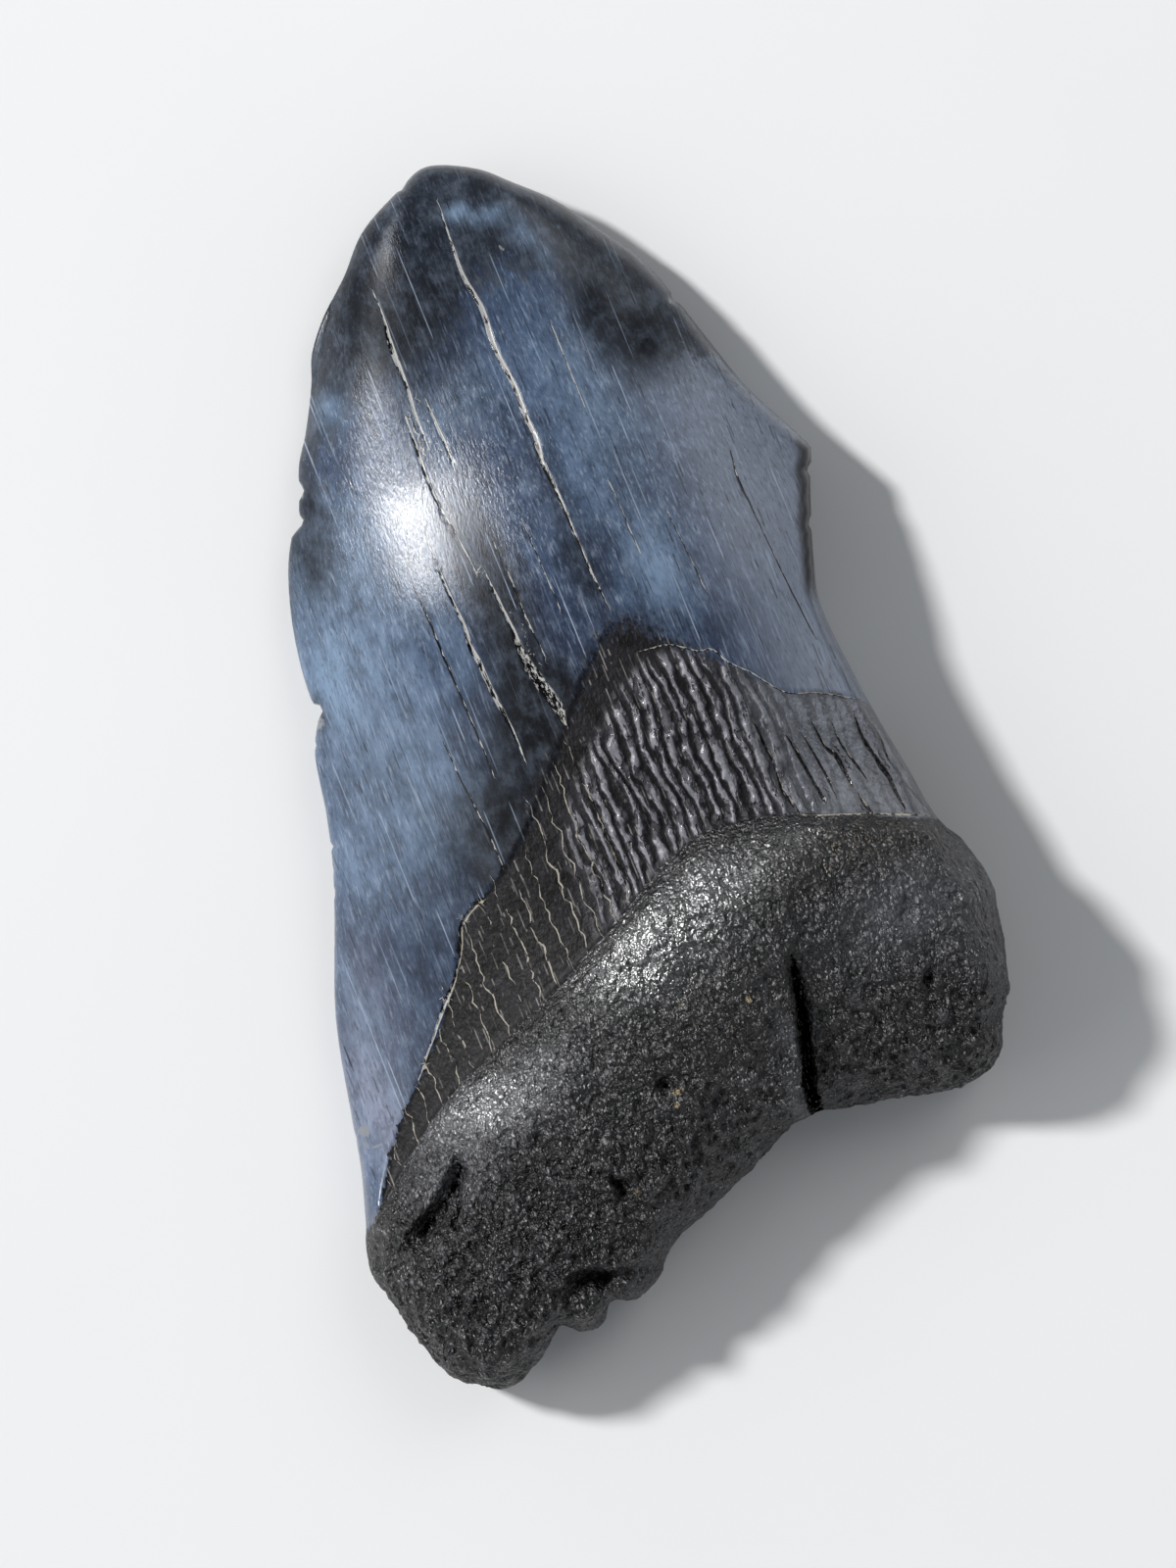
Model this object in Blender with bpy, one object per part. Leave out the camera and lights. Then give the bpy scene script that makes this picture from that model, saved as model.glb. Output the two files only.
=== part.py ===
"""A water-worn fossil megalodon tooth with one side broken away, lying with its bulged face up.

Every size is in millimetres until the mesh is made. X runs across the blade, Y from the root towards
the tip, and Z up from the surface that the tooth's flatter face lies on. The tooth is worked out as the
whole tooth once was, about a midline, and is then cut off at the outline that it has now.
"""

import math

import bpy
import numpy as np
from mathutils import Vector, noise
from mathutils.geometry import delaunay_2d_cdt

MM = 0.001

# The whole tooth, as stations of (distance up the tooth, value).
MIDLINE_X = -1.5
HALF_WIDTH = [(-3, 52), (15, 47.5), (30, 43.5), (45, 39.3), (60, 34.2), (75, 31), (87, 27.5), (100, 19.8),
              (110, 12.5), (117, 6), (124, 1)]
THICKNESS = [(-3, 12), (10, 14.5), (30, 17), (45, 16.6), (60, 16), (70, 15.4), (76, 14.7), (82, 13.6),
             (88, 12.3), (94, 11.1), (99, 10.1), (104, 8.8), (110, 6.9), (117, 4.2), (124, 2)]
EDGE_THICKNESS = [(-3, 8.5), (15, 8), (25, 4.5), (35, 2.6), (60, 1.8), (85, 1.3), (100, 0.9), (124, 1)]
ROUNDNESS = [(-3, 3.2), (20, 3.2), (35, 2.4), (60, 2), (70, 2.1), (88, 2.2), (96, 2.7), (104, 3.1),
             (124, 3.1)]
BACK_ARCH = [(-3, 0.9), (8, 0.1), (14, -0.5), (28, -0.5), (38, 0.3), (60, 1.3), (70, 1.1), (76, 0.8),
             (82, 0.4), (88, 0), (94, -0.2), (99, 0), (104, 0.6), (110, 1.6), (117, 2.8), (124, 3.8)]
BACK_EDGE_RISE = 1.7

# The lines across the tooth, as (x, y), and the swelling of the root, as (x, height).
ENAMEL_FOOT = [(-46.5, 19), (-42, 26), (-36, 32.3), (-30, 39), (-27, 44), (-22, 47), (-16, 52), (-10, 58.5),
               (-5, 64), (-0.5, 66.5), (4, 62), (8, 58.3), (12, 53.8), (15.5, 52.3), (18, 50.8), (21, 48)]
ROOT_EDGE = [(-48, 18.5), (-43, 22.5), (-37, 27), (-28, 31.5), (-19, 35.3), (-10, 40), (-4, 43), (5, 43),
             (13, 40), (22, 36), (27, 34)]
TORUS_CREST = [(-48, 7), (-42, 13), (-36, 18.5), (-26, 24.8), (-13, 31.4), (-5, 34), (5, 34.5),
               (18, 30.5), (27, 26)]
TORUS_HEIGHT = [(-48, 0.5), (-42, 1), (-36, 1.4), (-26, 2.3), (-13, 4.1), (-5, 4.8), (5, 4.9), (18, 3.6),
                (27, 2.8)]
TORUS_CROWN_SIDE = 13
TORUS_FOOT_SIDE = 25
CREASE_SHARE = 0.6
CREASE_WIDTH = 1.5
BOURLETTE_DIP = 0.7
ENAMEL_STEP = 0.22
ROOT_STEP = 0.3
STEP_WIDTH = 0.5

# The outline, anticlockwise from the tip, as (x, y, radius of the worn edge).
WORN = 1.6
FRESH = 0.5
OUTLINE = [
    (-1.5, 117.2, WORN), (-5, 116, WORN), (-10, 113.5, WORN), (-13.5, 110, WORN), (-17, 107, WORN),
    (-19.5, 104, WORN), (-20.8, 101, WORN), (-23, 97, 1), (-25, 94, FRESH), (-26.2, 91, FRESH),
    (-27.5, 88, FRESH), (-28.5, 87.3, FRESH), (-30, 84.5, 1), (-31.5, 80, 1), (-32.5, 75, 1),
    (-32.8, 71, FRESH), (-32.5, 69.8, FRESH), (-34.5, 66, 1), (-35.7, 60, 1), (-37, 55, 1), (-38.8, 50, 1),
    (-42.7, 40, 1), (-45, 30, 1), (-46, 25, 1), (-47.5, 20, 2), (-49, 15, 5), (-48.3, 12, 5), (-47.5, 8, 5),
    (-46.5, 5, 6), (-45.5, 2, 7), (-43, 0, 7), (-40, -1.4, 7), (-37, -0.3, 6), (-34.5, 1.4, 4),
    (-33, 2.4, 2), (-31, 1, 2.4), (-29, 1, 2.4), (-27.2, 3, 1.5), (-25, 2.1, 2.6), (-22, 3.2, 3),
    (-19.5, 5.8, 4), (-17, 7, 6), (-14, 8, 7), (-8, 10.5, 7), (-4, 12.5, 4), (-1, 12.9, 2), (3, 12, 5),
    (8, 11, 6), (14, 9.8, 5), (18.5, 11.2, 4), (20.2, 14.5, 4), (22.5, 18.5, 4), (24, 25, 5),
    (24.5, 28, 4), (23.5, 32.5, 4), (21.8, 36.5, 2.5), (21, 42, 1.5), (19.8, 50, 1.5), (19, 60, 1.2),
    (20, 65, FRESH), (22.5, 72, FRESH), (24, 75.5, FRESH), (23.8, 77, 1), (20.5, 84, 1.5), (18.5, 90.5, 1.5),
    (17.2, 95, 1), (15.5, 100, WORN), (13, 104, WORN), (9.5, 109, WORN), (6, 112.5, WORN), (3, 115.2, WORN),
]
RIM_SHARE = 0.42
BACK_EDGE_RADIUS = 2

# Cracks in the enamel, as (width, depth, points).
CRACKS = [
    (0.9, 0.7, [(-1.8, 113), (-2.2, 105), (-1.6, 93), (-2, 84), (-1.6, 77), (-1.2, 68)]),
    (0.8, 0.5, [(-11.3, 107), (-11.7, 97), (-12, 90)]),
    (0.8, 0.5, [(-13, 94), (-13.3, 86), (-12.3, 76.5)]),
    (1.0, 0.8, [(-15.6, 82), (-15.6, 70), (-14.8, 57)]),
    (1.6, 1.0, [(-11.5, 77), (-11, 69), (-9.7, 59)]),
    (0.8, 0.5, [(-18.7, 78), (-18.3, 57)]),
    (0.8, 0.5, [(-21.8, 62), (-20.9, 48)]),
    (0.8, 0.5, [(16.2, 78.5), (16, 71), (17, 58)]),
]

# Wrinkles that run down the bourlette, the dark band between enamel and root.
WRINKLE_PITCH = 2.45
WRINKLE_WIDTH = 1.3
WRINKLE_DEPTH = 0.55
WRINKLE_MARGIN = 1.4
FIRST_WRINKLE_X = -42.5
LAST_WRINKLE_X = 19
WRINKLE_SHIFT = 0.4
WRINKLE_SWAY = 0.35
MOST_SHORTENED = 0.2
SEED = 7
GROOVE_TAPER = 0.12

# The root's fissure, whose right side has sunk, its trough, and the ledge over two knobs. A knob is
# (x, y, radius, height), and a pit is (x, y, radius, depth).
FISSURE = [(2.2, 29), (1.6, 26.7), (1.2, 24.2), (0.3, 20.7), (-1, 16.2), (-1.4, 12)]
FISSURE_WIDTH = 1.8
FISSURE_DEPTH = 1.4
FISSURE_ASIDE = 0.55
SUNK_DEPTH = 3.2
SUNK_REACH = 24
SUNK_BLEND = 0.8
MOST_SUNK = 1.2
TROUGH = [(-35.5, 21.5), (-40, 17.5), (-44, 15.5)]
TROUGH_WIDTH = 3.6
TROUGH_DEPTH = 1.3
LEDGE = [(-35, -3), (-34.2, 1), (-32.4, 4.6), (-30.6, 6.5), (-28.1, 6.9), (-25.9, 6), (-23, 5.6),
         (-21, 5.2), (-19.5, 4.4), (-18, 2)]
LEDGE_DROP = 3.6
LEDGE_WIDTH = 1.5
KNOBS = [(-29.8, 3.5, 3.1, 3), (-25, 3.4, 2.7, 2.2)]
PITS = [(14.6, 21.8, 1.2, 1.3), (-14, 21.5, 1.4, 1.3), (15.3, 29, 1.8, 0.6), (-21.8, 13.5, 1.6, 0.9)]

# Low lumps on the surface, as (size, height) for the root and for the enamel.
ROOT_LUMPS = [(9, 0.8), (3.6, 0.5)]
CROWN_LUMPS = [(16, 0.35)]

# Mesh spacing. A ring's share is its distance in, as a part of the skirt's width.
RIM_STEP = 1.75
SKIRT = 0.5
FRONT_RINGS = [0.06, 0.3, 1]
BACK_RINGS = [0.12, 1]
FREE_RINGS = [1.1, 2.2, 3.7, 5.4]
FRONT_PITCH = 2
BACK_PITCH = 3
LINE_STEP = 2
PIT_SIDES = 8
KNOB_PITCH = 0.9
KNOB_MARGIN = 1.15
INNER_MARGIN = 0.3
RING_SLACK = 0.97
CLEARANCE = 0.62
SHARP_ANGLE = math.radians(28)


def curve_through(stations, at):
    """The smooth curve through the stations, read at each place."""
    places, values = np.array(stations, float).T
    slopes = np.gradient(values, places)
    at = np.clip(at, places[0], places[-1])
    index = np.clip(np.searchsorted(places, at) - 1, 0, len(places) - 2)
    gap = places[index + 1] - places[index]
    share = (at - places[index]) / gap
    start, end = values[index], values[index + 1]
    pull_start, pull_end = slopes[index] * gap, slopes[index + 1] * gap
    return (start + share * pull_start + share ** 2 * (3 * (end - start) - 2 * pull_start - pull_end)
            + share ** 3 * (2 * (start - end) + pull_start + pull_end))


def smooth_step(distance, width):
    """0 below minus half the width, 1 above half of it, and smooth between."""
    share = np.clip(distance / width + 0.5, 0, 1)
    return share * share * (3 - 2 * share)


def bell(distance, reach):
    """1 at the middle, falling smoothly to 0 at the reach."""
    return 0.5 + 0.5 * np.cos(math.pi * np.clip(distance / reach, -1, 1))


def above_line(x, y, line):
    """How far each point lies above a line across the tooth, square to the line."""
    height = curve_through(line, x)
    lean = curve_through(line, x + 0.5) - curve_through(line, x - 0.5)
    return (y - height) / np.sqrt(1 + lean ** 2)


def line_distance(x, y, points, closed=False):
    """Each point's distance to a line, and how far along the line its nearest place is, in points."""
    points = np.array(points, float)
    ends = np.roll(points, -1, axis=0) if closed else points[1:]
    starts = points if closed else points[:-1]
    best = np.full(len(x), np.inf)
    place = np.zeros(len(x))
    for number, (start, end) in enumerate(zip(starts, ends)):
        run = end - start
        share = np.clip(((x - start[0]) * run[0] + (y - start[1]) * run[1]) / (run @ run), 0, 1)
        distance = np.hypot(x - start[0] - share * run[0], y - start[1] - share * run[1])
        nearer = distance < best
        best[nearer] = distance[nearer]
        place[nearer] = number + share[nearer]
    return best, place


def spaced(points, step, closed=False):
    """Points at even steps along a smooth curve through the given ones."""
    points = np.array(points, float)
    count = len(points)
    if closed:
        points = np.vstack([points[-1:], points, points[:2]])
    else:
        points = np.vstack([2 * points[0] - points[1], points, 2 * points[-1] - points[-2]])
    fine = []
    for index in range(1, count + closed):
        before, start, end, after = points[index - 1: index + 3]
        for share in np.linspace(0, 1, 12, endpoint=False):
            fine.append(0.5 * (2 * start + (end - before) * share
                               + (2 * before - 5 * start + 4 * end - after) * share ** 2
                               + (3 * start - before - 3 * end + after) * share ** 3))
    fine.append(fine[0] if closed else points[-2])
    fine = np.array(fine)
    lengths = np.hypot(*np.diff(fine[:, :2], axis=0).T)
    along = np.concatenate([[0], np.cumsum(lengths)])
    stops = np.linspace(0, along[-1], max(2, round(along[-1] / step) + 1))
    if closed:
        stops = stops[:-1]
    return np.column_stack([np.interp(stops, along, column) for column in fine.T])


def side_normals(points, closed=False):
    """The unit vector to the left of the line at each of its points."""
    if closed:
        runs = np.roll(points, -1, axis=0) - np.roll(points, 1, axis=0)
    else:
        runs = np.gradient(points, axis=0)
    runs = runs[:, :2] / np.hypot(runs[:, 0], runs[:, 1])[:, None]
    return np.column_stack([-runs[:, 1], runs[:, 0]])


def wrinkles():
    """The grooves of the bourlette, one line each, with a seeded sway."""
    sway = np.random.default_rng(SEED)
    lines = []
    for x in np.arange(FIRST_WRINKLE_X, LAST_WRINKLE_X, WRINKLE_PITCH):
        x += sway.uniform(-WRINKLE_SHIFT, WRINKLE_SHIFT)
        low = float(curve_through(ROOT_EDGE, np.array([x]))[0]) + WRINKLE_MARGIN
        high = float(curve_through(ENAMEL_FOOT, np.array([x]))[0]) - WRINKLE_MARGIN
        high -= sway.uniform(0, MOST_SHORTENED) * (high - low)
        if high - low < 2 * LINE_STEP:
            continue
        heights = np.arange(low, high, 1.5 * LINE_STEP)
        lines.append([(x + sway.uniform(-WRINKLE_SWAY, WRINKLE_SWAY), y) for y in heights] + [(x, high)])
    return lines


def groove(x, y, line, width, depth):
    """A V-shaped groove along the line, which grows shallow at both ends."""
    distance, place = line_distance(x, y, line)
    to_end = np.minimum(place, len(line) - 1 - place) / (len(line) - 1)
    return depth * np.clip(1 - 2 * distance / width, 0, 1) * np.clip(to_end / GROOVE_TAPER, 0, 1)


def lumps(x, y, sizes, seed):
    """Low rounded lumps of each size, laid over each other."""
    total = np.zeros(len(x))
    for size, height in sizes:
        for index, (across, along) in enumerate(zip(x, y)):
            total[index] += height * noise.noise(Vector((across / size, along / size, seed)))
    return total


def back_height(x, y):
    """The flatter face, which rises to the cutting edges and rests on its root and near its tip."""
    across = np.clip((x - MIDLINE_X) / curve_through(HALF_WIDTH, y), -1, 1)
    return np.maximum(0, curve_through(BACK_ARCH, y) + BACK_EDGE_RISE * across ** 2)


def blade(x, y):
    """The bulged face of the whole tooth, without its root's swelling."""
    across = np.clip(np.abs(x - MIDLINE_X) / curve_through(HALF_WIDTH, y), 0, 1)
    edge = curve_through(EDGE_THICKNESS, y)
    middle = curve_through(THICKNESS, y)
    return back_height(x, y) + edge + (middle - edge) * (1 - across ** curve_through(ROUNDNESS, y))


def root_swelling(x, y):
    """The torus, which ends at the root's edge in a crease."""
    over_crest = above_line(x, y, TORUS_CREST)
    reach = np.where(over_crest > 0, TORUS_CROWN_SIDE, TORUS_FOOT_SIDE)
    off_torus = smooth_step(above_line(x, y, ROOT_EDGE) + CREASE_WIDTH / 2, CREASE_WIDTH)
    return curve_through(TORUS_HEIGHT, x) * bell(over_crest, reach) * (1 - CREASE_SHARE * off_torus)


def bourlette_dip(x, y):
    """How far the bourlette sinks from the enamel's foot down to the crease."""
    below_enamel = np.maximum(0, -above_line(x, y, ENAMEL_FOOT))
    above_root = above_line(x, y, ROOT_EDGE)
    share = below_enamel / (below_enamel + np.maximum(above_root, 0) + 0.01)
    return BOURLETTE_DIP * share * smooth_step(above_root, CREASE_WIDTH)


def sunk_side(x, y):
    """The part of the root to the right of the fissure, which sits lower towards the root's foot."""
    beyond = x - curve_through([(y, x) for x, y in FISSURE[::-1]], y)
    top = FISSURE[0][1]
    lower = np.sqrt(np.clip((top - y) / (top - FISSURE[-1][1]), 0, MOST_SUNK))
    return SUNK_DEPTH * lower * smooth_step(beyond, SUNK_BLEND) * bell(np.maximum(beyond, 0), SUNK_REACH)


def front_height(x, y):
    """The bulged face with everything that stands on it or is cut into it."""
    on_enamel = smooth_step(above_line(x, y, ENAMEL_FOOT), STEP_WIDTH)
    on_root = smooth_step(-above_line(x, y, ROOT_EDGE), STEP_WIDTH)
    height = blade(x, y) + root_swelling(x, y) + ENAMEL_STEP * on_enamel + ROOT_STEP * on_root
    height -= bourlette_dip(x, y)
    split = groove(x - FISSURE_ASIDE, y, FISSURE, FISSURE_WIDTH, FISSURE_DEPTH)
    height -= on_root * (sunk_side(x, y) + split)
    height -= groove(x, y, TROUGH, TROUGH_WIDTH, TROUGH_DEPTH)
    height -= LEDGE_DROP * smooth_step(-above_line(x, y, LEDGE), LEDGE_WIDTH)
    for knob_x, knob_y, radius, rise in KNOBS:
        height += rise * rounded_edge(radius - np.hypot(x - knob_x, y - knob_y), radius)
    for pit_x, pit_y, radius, depth in PITS:
        height -= depth * bell(np.hypot(x - pit_x, y - pit_y), radius)
    for width, depth, line in CRACKS:
        height -= groove(x, y, line, width, depth)
    for line in wrinkles():
        height -= groove(x, y, line, WRINKLE_WIDTH, WRINKLE_DEPTH)
    height += on_root * lumps(x, y, ROOT_LUMPS, SEED)
    return height + (1 - on_root) * lumps(x, y, CROWN_LUMPS, SEED)


def rounded_edge(distance, radius):
    """The share of the full height that a rounded edge reaches at each distance in from it."""
    return np.sqrt(1 - np.clip(1 - distance / radius, 0, 1) ** 2)


def heights(x, y, distance, radius, front):
    """The height of one face, rounded over to the rim."""
    low, high = back_height(x, y), front_height(x, y)
    rim = low + RIM_SHARE * (high - low)
    face = high if front else low
    reach = radius if front else np.minimum(radius, BACK_EDGE_RADIUS)
    return rim + (face - rim) * rounded_edge(distance, reach)


def lip_and_floor(line, width):
    """A groove's floor and its two lips, as lines of points that face each other."""
    middle = spaced(line, LINE_STEP)
    aside = side_normals(middle) * width / 2
    return [middle[:, :2], middle[:, :2] + aside, middle[:, :2] - aside]


def pit_points():
    """Two rings of points in each pit, and its middle."""
    turns = np.linspace(0, 2 * math.pi, PIT_SIDES, endpoint=False)
    ring = np.column_stack([np.cos(turns), np.sin(turns)])
    rings = [ring * share * radius + (x, y) for x, y, radius, _ in PITS for share in (1, 0.5, 0)]
    return np.unique(np.round(np.vstack(rings), 4), axis=0)


def knob_points():
    """A finer lattice over each knob."""
    points = lattice(KNOB_PITCH)
    on_knob = np.zeros(len(points), bool)
    for x, y, radius, _ in KNOBS:
        on_knob |= np.hypot(points[:, 0] - x, points[:, 1] - y) < KNOB_MARGIN * radius
    return points[on_knob]


def front_lines():
    """Every line of the front face that the mesh follows."""
    lines = []
    for width, _, line in CRACKS:
        lines += lip_and_floor(line, width)
    for line in wrinkles():
        lines += lip_and_floor(line, WRINKLE_WIDTH)
    lines += lip_and_floor([(x + FISSURE_ASIDE, y) for x, y in FISSURE], FISSURE_WIDTH)
    lines += lip_and_floor(TROUGH, TROUGH_WIDTH)
    lines += lip_and_floor(LEDGE, LEDGE_WIDTH)
    lines += lip_and_floor(ENAMEL_FOOT, STEP_WIDTH)[1:]
    lines += lip_and_floor(ROOT_EDGE, STEP_WIDTH)[1:]
    lines.append(lip_and_floor(ROOT_EDGE, 2 * CREASE_WIDTH)[2])
    return lines


def lattice(pitch):
    """Points in a pattern of equal triangles over the whole plan."""
    low_x, low_y, _ = np.min(OUTLINE, axis=0)
    high_x, high_y, _ = np.max(OUTLINE, axis=0)
    points = []
    for row, y in enumerate(np.arange(low_y, high_y, pitch * math.sqrt(3) / 2)):
        points += [(x, y) for x in np.arange(low_x + (row % 2) * pitch / 2, high_x, pitch)]
    return np.array(points)


def clear_of(points, kept, gap):
    """The points that lie at least the gap away from every kept one."""
    return points[[np.min(np.hypot(*(kept - point).T)) > gap for point in points]]


def within(points, rim, margin):
    """The points inside the rim by more than the margin."""
    starts, ends = rim[:, :2], np.roll(rim[:, :2], -1, axis=0)
    x, y = points[:, :1], points[:, 1:2]
    straddles = (starts[:, 1] > y) != (ends[:, 1] > y)
    run = np.where(ends[:, 1] == starts[:, 1], 1, ends[:, 1] - starts[:, 1])
    crossing = starts[:, 0] + (y - starts[:, 1]) * (ends[:, 0] - starts[:, 0]) / run
    inside = (straddles & (x < crossing)).sum(axis=1) % 2 == 1
    distance, _ = line_distance(points[:, 0], points[:, 1], starts, closed=True)
    return points[inside & (distance > margin)]


def plan_points(rim, loop, front):
    """The points inside the loop: rings near the rim, then lines to follow, then a lattice."""
    inward = side_normals(rim, closed=True)
    lines = [within(line, rim, SKIRT + INNER_MARGIN) for line in front_lines()] if front else []
    kept = np.vstack([loop] + [line for line in lines if len(line)])
    extra = [clear_of(pit_points(), kept, CLEARANCE / 2)] if front else []
    kept = np.vstack([kept] + extra)
    for reach in FREE_RINGS if front else FREE_RINGS[:1]:
        deep = rim[:, 2] > reach
        ring = within(rim[deep, :2] + inward[deep] * reach, rim, reach * RING_SLACK)
        ring = clear_of(ring, kept, CLEARANCE)
        extra.append(ring)
        kept = np.vstack([kept, ring])
    if front:
        on_knobs = within(knob_points(), rim, SKIRT + INNER_MARGIN)
        extra.append(clear_of(on_knobs, kept, CLEARANCE * KNOB_PITCH))
        kept = np.vstack([kept, extra[-1]])
    pitch = FRONT_PITCH if front else BACK_PITCH
    grid = within(lattice(pitch), rim, SKIRT + INNER_MARGIN * pitch)
    extra.append(clear_of(grid, kept, CLEARANCE * pitch))
    return lines, np.vstack(extra)


def fill_plan(loop, lines, points):
    """Triangles over the plan inside the loop, with the lines among their edges."""
    verts = [Vector(point) for point in loop]
    edges = [(index, (index + 1) % len(loop)) for index in range(len(loop))]
    for line in lines:
        first = len(verts)
        verts += [Vector(point) for point in line]
        near = [math.dist(line[i], line[i + 1]) < 2 * LINE_STEP for i in range(len(line) - 1)]
        edges += [(first + i, first + i + 1) for i, joined in enumerate(near) if joined]
    verts += [Vector(point) for point in points]
    made, _, faces, sources, _, _ = delaunay_2d_cdt(verts, edges, [], 1, 1e-5)
    on_loop = {source: index for index, found in enumerate(sources) for source in found if source < len(loop)}
    return np.array([tuple(vert) for vert in made]), faces, on_loop


def skirt(rim, shares, front):
    """Rings of points from just inside the rim to the skirt's width, and the last ring's plan."""
    inward = side_normals(rim, closed=True)
    rings = []
    for share in shares:
        plan = rim[:, :2] + inward * SKIRT * share
        depth = np.full(len(rim), SKIRT * share)
        rings.append(np.column_stack([plan, heights(plan[:, 0], plan[:, 1], depth, rim[:, 2], front)]))
    return rings


def half_tooth(rim, front, points, faces):
    """Adds one face of the tooth to the points and faces, from the rim inwards."""
    count = len(rim)
    previous = list(range(count))
    rings = skirt(rim, FRONT_RINGS if front else BACK_RINGS, front)
    for ring in rings:
        first = len(points)
        points += [tuple(point) for point in ring]
        current = list(range(first, first + count))
        for index in range(count):
            after = (index + 1) % count
            quad = [previous[index], previous[after], current[after], current[index]]
            faces.append(quad if front else quad[::-1])
        previous = current
    loop = rings[-1][:, :2]
    plan, fill, on_loop = fill_plan(loop, *plan_points(rim, loop, front))
    distance, place = line_distance(plan[:, 0], plan[:, 1], rim[:, :2], closed=True)
    radius = np.interp(place, np.arange(count + 1), np.append(rim[:, 2], rim[0, 2]))
    height = heights(plan[:, 0], plan[:, 1], distance, radius, front)
    loop_at = {made: previous[source] for source, made in on_loop.items()}
    numbers = []
    for index, (x, y) in enumerate(plan):
        if index in loop_at:
            numbers.append(loop_at[index])
            continue
        numbers.append(len(points))
        points.append((x, y, height[index]))
    for face in fill:
        corners = [numbers[index] for index in face]
        faces.append(corners if front else corners[::-1])


def tooth_mesh():
    """The closed mesh, with its origin at the bottom centre of its box."""
    rim = spaced(OUTLINE, RIM_STEP, closed=True)
    low, high = back_height(rim[:, 0], rim[:, 1]), front_height(rim[:, 0], rim[:, 1])
    points = [tuple(point) for point in np.column_stack([rim[:, :2], low + RIM_SHARE * (high - low)])]
    faces = []
    half_tooth(rim, True, points, faces)
    half_tooth(rim, False, points, faces)
    points = np.array(points)
    middle = (points.min(axis=0) + points.max(axis=0)) / 2
    points -= (middle[0], middle[1], points[:, 2].min())
    mesh = bpy.data.meshes.new("tooth")
    mesh.from_pydata((points * MM).tolist(), [], faces)
    mesh.validate()
    mesh.shade_smooth()
    mesh.set_sharp_from_angle(angle=SHARP_ANGLE)
    return mesh


def fossil_material():
    """Blue-grey enamel and near-black root, polished by water."""
    material = bpy.data.materials.new("fossil")
    material.use_nodes = True
    shader = material.node_tree.nodes["Principled BSDF"]
    shader.inputs["Base Color"].default_value = (0.045, 0.062, 0.09, 1)
    shader.inputs["Roughness"].default_value = 0.35
    shader.inputs["Metallic"].default_value = 0
    return material


def clear_scene():
    for thing in list(bpy.data.objects):
        bpy.data.objects.remove(thing, do_unlink=True)


def main():
    clear_scene()
    tooth = bpy.data.objects.new("tooth", tooth_mesh())
    tooth.data.materials.append(fossil_material())
    bpy.context.scene.collection.objects.link(tooth)


main()
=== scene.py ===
import math

import bpy
import numpy as np
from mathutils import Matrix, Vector, kdtree, noise
from mathutils.geometry import delaunay_2d_cdt


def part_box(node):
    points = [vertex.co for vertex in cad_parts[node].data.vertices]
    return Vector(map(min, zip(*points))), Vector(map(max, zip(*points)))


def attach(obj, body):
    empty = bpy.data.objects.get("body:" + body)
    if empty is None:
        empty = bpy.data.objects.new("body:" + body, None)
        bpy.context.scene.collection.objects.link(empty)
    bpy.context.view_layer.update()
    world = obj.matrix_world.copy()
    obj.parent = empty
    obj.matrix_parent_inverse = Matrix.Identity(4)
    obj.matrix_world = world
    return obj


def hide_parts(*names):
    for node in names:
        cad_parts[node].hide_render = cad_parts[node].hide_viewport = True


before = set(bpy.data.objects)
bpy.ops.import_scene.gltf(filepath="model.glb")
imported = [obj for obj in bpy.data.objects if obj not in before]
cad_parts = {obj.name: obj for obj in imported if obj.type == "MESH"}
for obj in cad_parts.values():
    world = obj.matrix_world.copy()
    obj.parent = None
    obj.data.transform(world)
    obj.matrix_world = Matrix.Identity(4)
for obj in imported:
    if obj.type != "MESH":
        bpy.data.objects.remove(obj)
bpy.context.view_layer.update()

# ---------------------------------------------------------------------------------------------------
# The tooth's form, in millimetres. X runs across the blade, Y from the root towards the tip, and Z up
# from the surface that the tooth lies on. These sizes are the solid's own.
# ---------------------------------------------------------------------------------------------------

MM = 0.001

# The whole tooth, as stations of (distance up the tooth, value).
MIDLINE_X = -1.5
HALF_WIDTH = [(-3, 52), (15, 47.5), (30, 43.5), (45, 39.3), (60, 34.2), (75, 31), (87, 27.5), (100, 19.8),
              (110, 12.5), (117, 6), (124, 1)]
THICKNESS = [(-3, 12), (10, 14.5), (30, 17), (45, 16.6), (60, 16), (70, 15.4), (76, 14.7), (82, 13.6),
             (88, 12.3), (94, 11.1), (99, 10.1), (104, 8.8), (110, 6.9), (117, 4.2), (124, 2)]
EDGE_THICKNESS = [(-3, 8.5), (15, 8), (25, 4.5), (35, 2.6), (60, 1.8), (85, 1.3), (100, 0.9), (124, 1)]
ROUNDNESS = [(-3, 3.2), (20, 3.2), (35, 2.4), (60, 2), (70, 2.1), (88, 2.2), (96, 2.7), (104, 3.1),
             (124, 3.1)]
BACK_ARCH = [(-3, 0.9), (8, 0.1), (14, -0.5), (28, -0.5), (38, 0.3), (60, 1.3), (70, 1.1), (76, 0.8),
             (82, 0.4), (88, 0), (94, -0.2), (99, 0), (104, 0.6), (110, 1.6), (117, 2.8), (124, 3.8)]
BACK_EDGE_RISE = 1.7

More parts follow.
